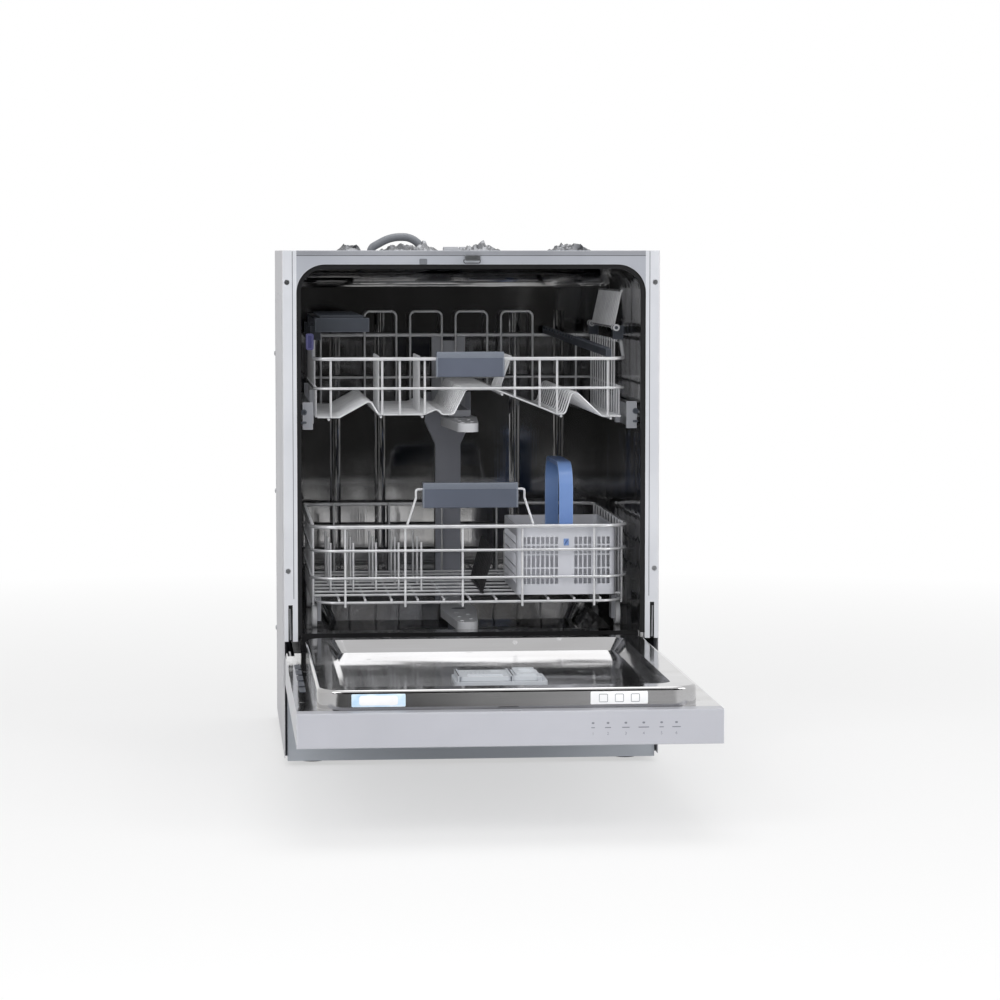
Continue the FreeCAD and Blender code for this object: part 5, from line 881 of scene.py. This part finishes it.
def addScrew(name, place, axis, sign):  # pan head with a black cross, painted shade for its recess, its axis along x or y
    middle = Vector(place)
    middle[axis] += sign * (panScrew["stand"] / 2 - panScrew["sink"])
    turn = (layOnX, layOnY)[axis]
    head = addRound(name, panScrew["radius"], panScrew["stand"], middle, turn, panScrew["sides"])
    crownFrom = place[axis] + sign * panScrew["stand"] * panScrew["crownFrom"]
    bevelEdges(head, panScrew["corner"], panScrew["steps"], beyond(axis, crownFrom, sign))
    head.data.materials.append(finishes["plain_steel"])
    parts = [head]
    middle = Vector(place)
    middle[axis] += sign * (panScrew["stand"] - crossBar["sink"])
    for arm in (0, 1):
        half = Vector([crossBar["wide"] / 2] * 3)
        half[axis] = crossBar["half"]
        half[(axis + 1 + arm) % 3] = panScrew["radius"] * crossBar["longShare"]
        bar = addBar(f"{name}Bar{arm}", middle - half, middle + half, crossBar)
        # painted shade: the cross is black for the shadow inside the recess
        bar.data.materials.append(finishes["seal_black"])
        parts.append(bar)
    return joinPieces(parts, name)


rearScrews = {"rail": (-0.22, -0.075, 0.075, 0.22), "side": (0.16, 0.40, 0.64), "sideY": 0.600}
low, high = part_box("rear_rail")
screws = []
for x in rearScrews["rail"]:
    place = backOf("rear_rail", x, (low.z + high.z) / 2)
    screws.append(addScrew(f"railScrew{len(screws)}", place, *toBack))
for z in rearScrews["side"]:
    for sign in (-1, 1):
        place = sideOf("side_panels", sign, rearScrews["sideY"], z)
        screws.append(addScrew(f"sideScrew{len(screws)}", place, 0, sign))
settle(joinPieces(screws, "rearScrews"), "cabinet", "plain_steel", keepFinish=True)

kickScrews = {"x": (-0.262, 0.262), "drop": 0.020}
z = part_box("kick_plate")[1].z - kickScrews["drop"]
screws = [addScrew(f"kickScrew{index}", frontOf("kick_plate", x, z), *toFront)
          for index, x in enumerate(kickScrews["x"])]
settle(joinPieces(screws, "kickScrews"), "cabinet", "plain_steel", keepFinish=True)

barePlate = {"span": (-0.165, -0.095), "rise": (0.105, 0.140), "sheet": 0.0006, "sink": 0.0001,
             "corner": 0.003, "steps": 4, "rim": 0.0015, "floor": -0.0002}
(start, end), (base, crown) = barePlate["span"], barePlate["rise"]
back = backOf("base_tray", (start + end) / 2, (base + crown) / 2).y
plate = addPlate("barePlate", (start, back - barePlate["sink"], base),
                 (end, back + barePlate["sheet"], crown), barePlate, toBack)
settle(plate, "cabinet", "plain_steel", "plateWhite")
print("outside trim made")

# stage: floor, light, camera
stageLook = {"floorSize": 60.0, "floorDrop": 0.0005, "floorTone": (0.86, 0.86, 0.86, 1), "near": 1.1,
             "far": 3.2, "nearShare": 0.55, "lightLevel": 0.55, "white": (1, 1, 1, 1)}


def shownRays(tree):  # camera, mirror and see-through rays
    path = addNode(tree, "LightPath").outputs
    pair = addNode(tree, "Math", {0: path["Is Camera Ray"], 1: path["Is Glossy Ray"]}, operation="MAXIMUM")
    shown = addNode(tree, "Math", {0: pair.outputs[0], 1: path["Is Transmission Ray"]}, operation="MAXIMUM")
    return shown.outputs[0]


bpy.ops.mesh.primitive_plane_add(size=stageLook["floorSize"], location=(0, 0, -stageLook["floorDrop"]))
floor = bpy.context.object
floor.name = "studioFloor"
paleFloor = bpy.data.materials.new("paleFloor")
tree = emptyTree(paleFloor)
place = addNode(tree, "TexCoord").outputs["Object"]
reach = addNode(tree, "VectorMath", {0: place}, operation="LENGTH")
fade = addNode(tree, "MapRange", {"Value": reach.outputs["Value"], "From Min": stageLook["near"],
                                  "From Max": stageLook["far"], "To Min": stageLook["nearShare"],
                                  "To Max": 1.0})
share = addNode(tree, "Math", {0: fade.outputs[0], 1: shownRays(tree)}, operation="MULTIPLY")
matte = addNode(tree, "BsdfDiffuse", {"Color": stageLook["floorTone"]})
glow = addNode(tree, "Emission", {"Color": stageLook["white"], "Strength": 1.0})
both = addNode(tree, "MixShader", {0: share.outputs[0], 1: matte.outputs[0], 2: glow.outputs[0]})
addNode(tree, "OutputMaterial", {"Surface": both.outputs[0]})
floor.data.materials.append(paleFloor)

world = bpy.data.worlds.new("studioAir")
bpy.context.scene.world = world
tree = emptyTree(world)
soft = addNode(tree, "Background", {"Color": stageLook["white"], "Strength": stageLook["lightLevel"]})
glow = addNode(tree, "Background", {"Color": stageLook["white"], "Strength": 1.0})
both = addNode(tree, "MixShader", {0: shownRays(tree), 1: soft.outputs[0], 2: glow.outputs[0]})
addNode(tree, "OutputWorld", {"Surface": both.outputs[0]})

lamps = {
    "keyLamp": {"place": (-2.2, -3.0, 2.6), "aim": (0, 0.1, 0.5), "size": 2.0, "power": 38.0},
    "fillLamp": {"place": (2.6, -2.4, 1.9), "aim": (0, 0.1, 0.45), "size": 1.6, "power": 30.0},
    "topLamp": {"place": (0.2, 0.4, 3.2), "aim": (0, 0.1, 0.5), "size": 2.2, "power": 30.0},
    "lowLamp": {"place": (-0.2, -2.6, 0.25), "aim": (0, 0.1, 0.05), "size": 0.7, "power": 9.0,
                "mirrored": False},
    "frontLamp": {"place": (-0.5, -4.6, 1.25), "aim": (0, 0.3, 0.45), "size": 1.2, "power": 26.0,
                  "mirrored": False},
}
for name, lamp in lamps.items():
    bpy.ops.object.light_add(type="AREA", location=lamp["place"])
    light = bpy.context.object
    light.name = name
    light.data.size = lamp["size"]
    light.data.energy = lamp["power"]
    light.visible_glossy = lamp.get("mirrored", True)
    light.rotation_euler = (Vector(lamp["aim"]) - Vector(lamp["place"])).to_track_quat("-Z", "Y").to_euler()

# cards seen only in reflections, as in a dim room: dark ones beside the camera, a grey one on the floor
cards = {
    "darkCardLeft": {"place": (-2.45, -3.4, 1.2), "size": (2.7, 2.6), "tip": 90},
    "darkCardMiddle": {"place": (-0.1, -3.4, 1.28), "size": (1.70, 2.44), "tip": 90},
    "darkCardRight": {"place": (2.35, -3.4, 1.2), "size": (2.9, 2.6), "tip": 90},
    "darkCardFloor": {"place": (-0.1, -2.2, 0.003), "size": (1.8, 1.5), "tip": 0},
}
cardTone = {"dim": (0.003, 0.003, 0.003, 1), "rough": 0.9, "rampStart": 0.04, "rampEnd": 0.32, "left": 0.05,
            "right": 0.50}
dimCard = bpy.data.materials.new("dimCard")
dimCard.use_nodes = True
plain = dimCard.node_tree.nodes["Principled BSDF"].inputs
plain["Base Color"].default_value = cardTone["dim"]
plain["Roughness"].default_value = cardTone["rough"]
rampCard = bpy.data.materials.new("rampCard")  # grey that grows paler to the right
tree = emptyTree(rampCard)
place = addNode(tree, "TexCoord").outputs["Object"]
across = addNode(tree, "SeparateXYZ", {0: place}).outputs["X"]
level = addNode(tree, "MapRange", {"Value": across, "From Min": cardTone["rampStart"],
                                   "From Max": cardTone["rampEnd"], "To Min": cardTone["left"],
                                   "To Max": cardTone["right"]})
shader = addNode(tree, "BsdfPrincipled", {"Base Color": level.outputs[0], "Roughness": cardTone["rough"]})
addNode(tree, "OutputMaterial", {"Surface": shader.outputs[0]})
for name, card in cards.items():
    bpy.ops.mesh.primitive_plane_add(size=1.0, location=card["place"],
                                     rotation=(math.radians(card["tip"]), 0, 0))
    panel = bpy.context.object
    panel.name = name
    panel.scale = (*card["size"], 1)
    panel.data.materials.append(rampCard if name == "darkCardFloor" else dimCard)
    panel.visible_camera = panel.visible_diffuse = panel.visible_shadow = panel.visible_transmission = False

cameraView = {"place": (-0.4138, -5.0267, 0.8149), "right": 5.15, "down": 4.392, "lens": 116.05,
              "sensor": 36.0, "clipEnd": 200.0}
tilt, swing = math.radians(90 - cameraView["down"]), math.radians(-cameraView["right"])
bpy.ops.object.camera_add(location=cameraView["place"], rotation=(tilt, 0, swing))
camera = bpy.context.object
camera.name = "photoCamera"
camera.data.lens = cameraView["lens"]
camera.data.sensor_width = cameraView["sensor"]
camera.data.clip_end = cameraView["clipEnd"]
bpy.context.scene.camera = camera
bpy.context.scene.view_settings.view_transform = "Standard"
print("stage set")
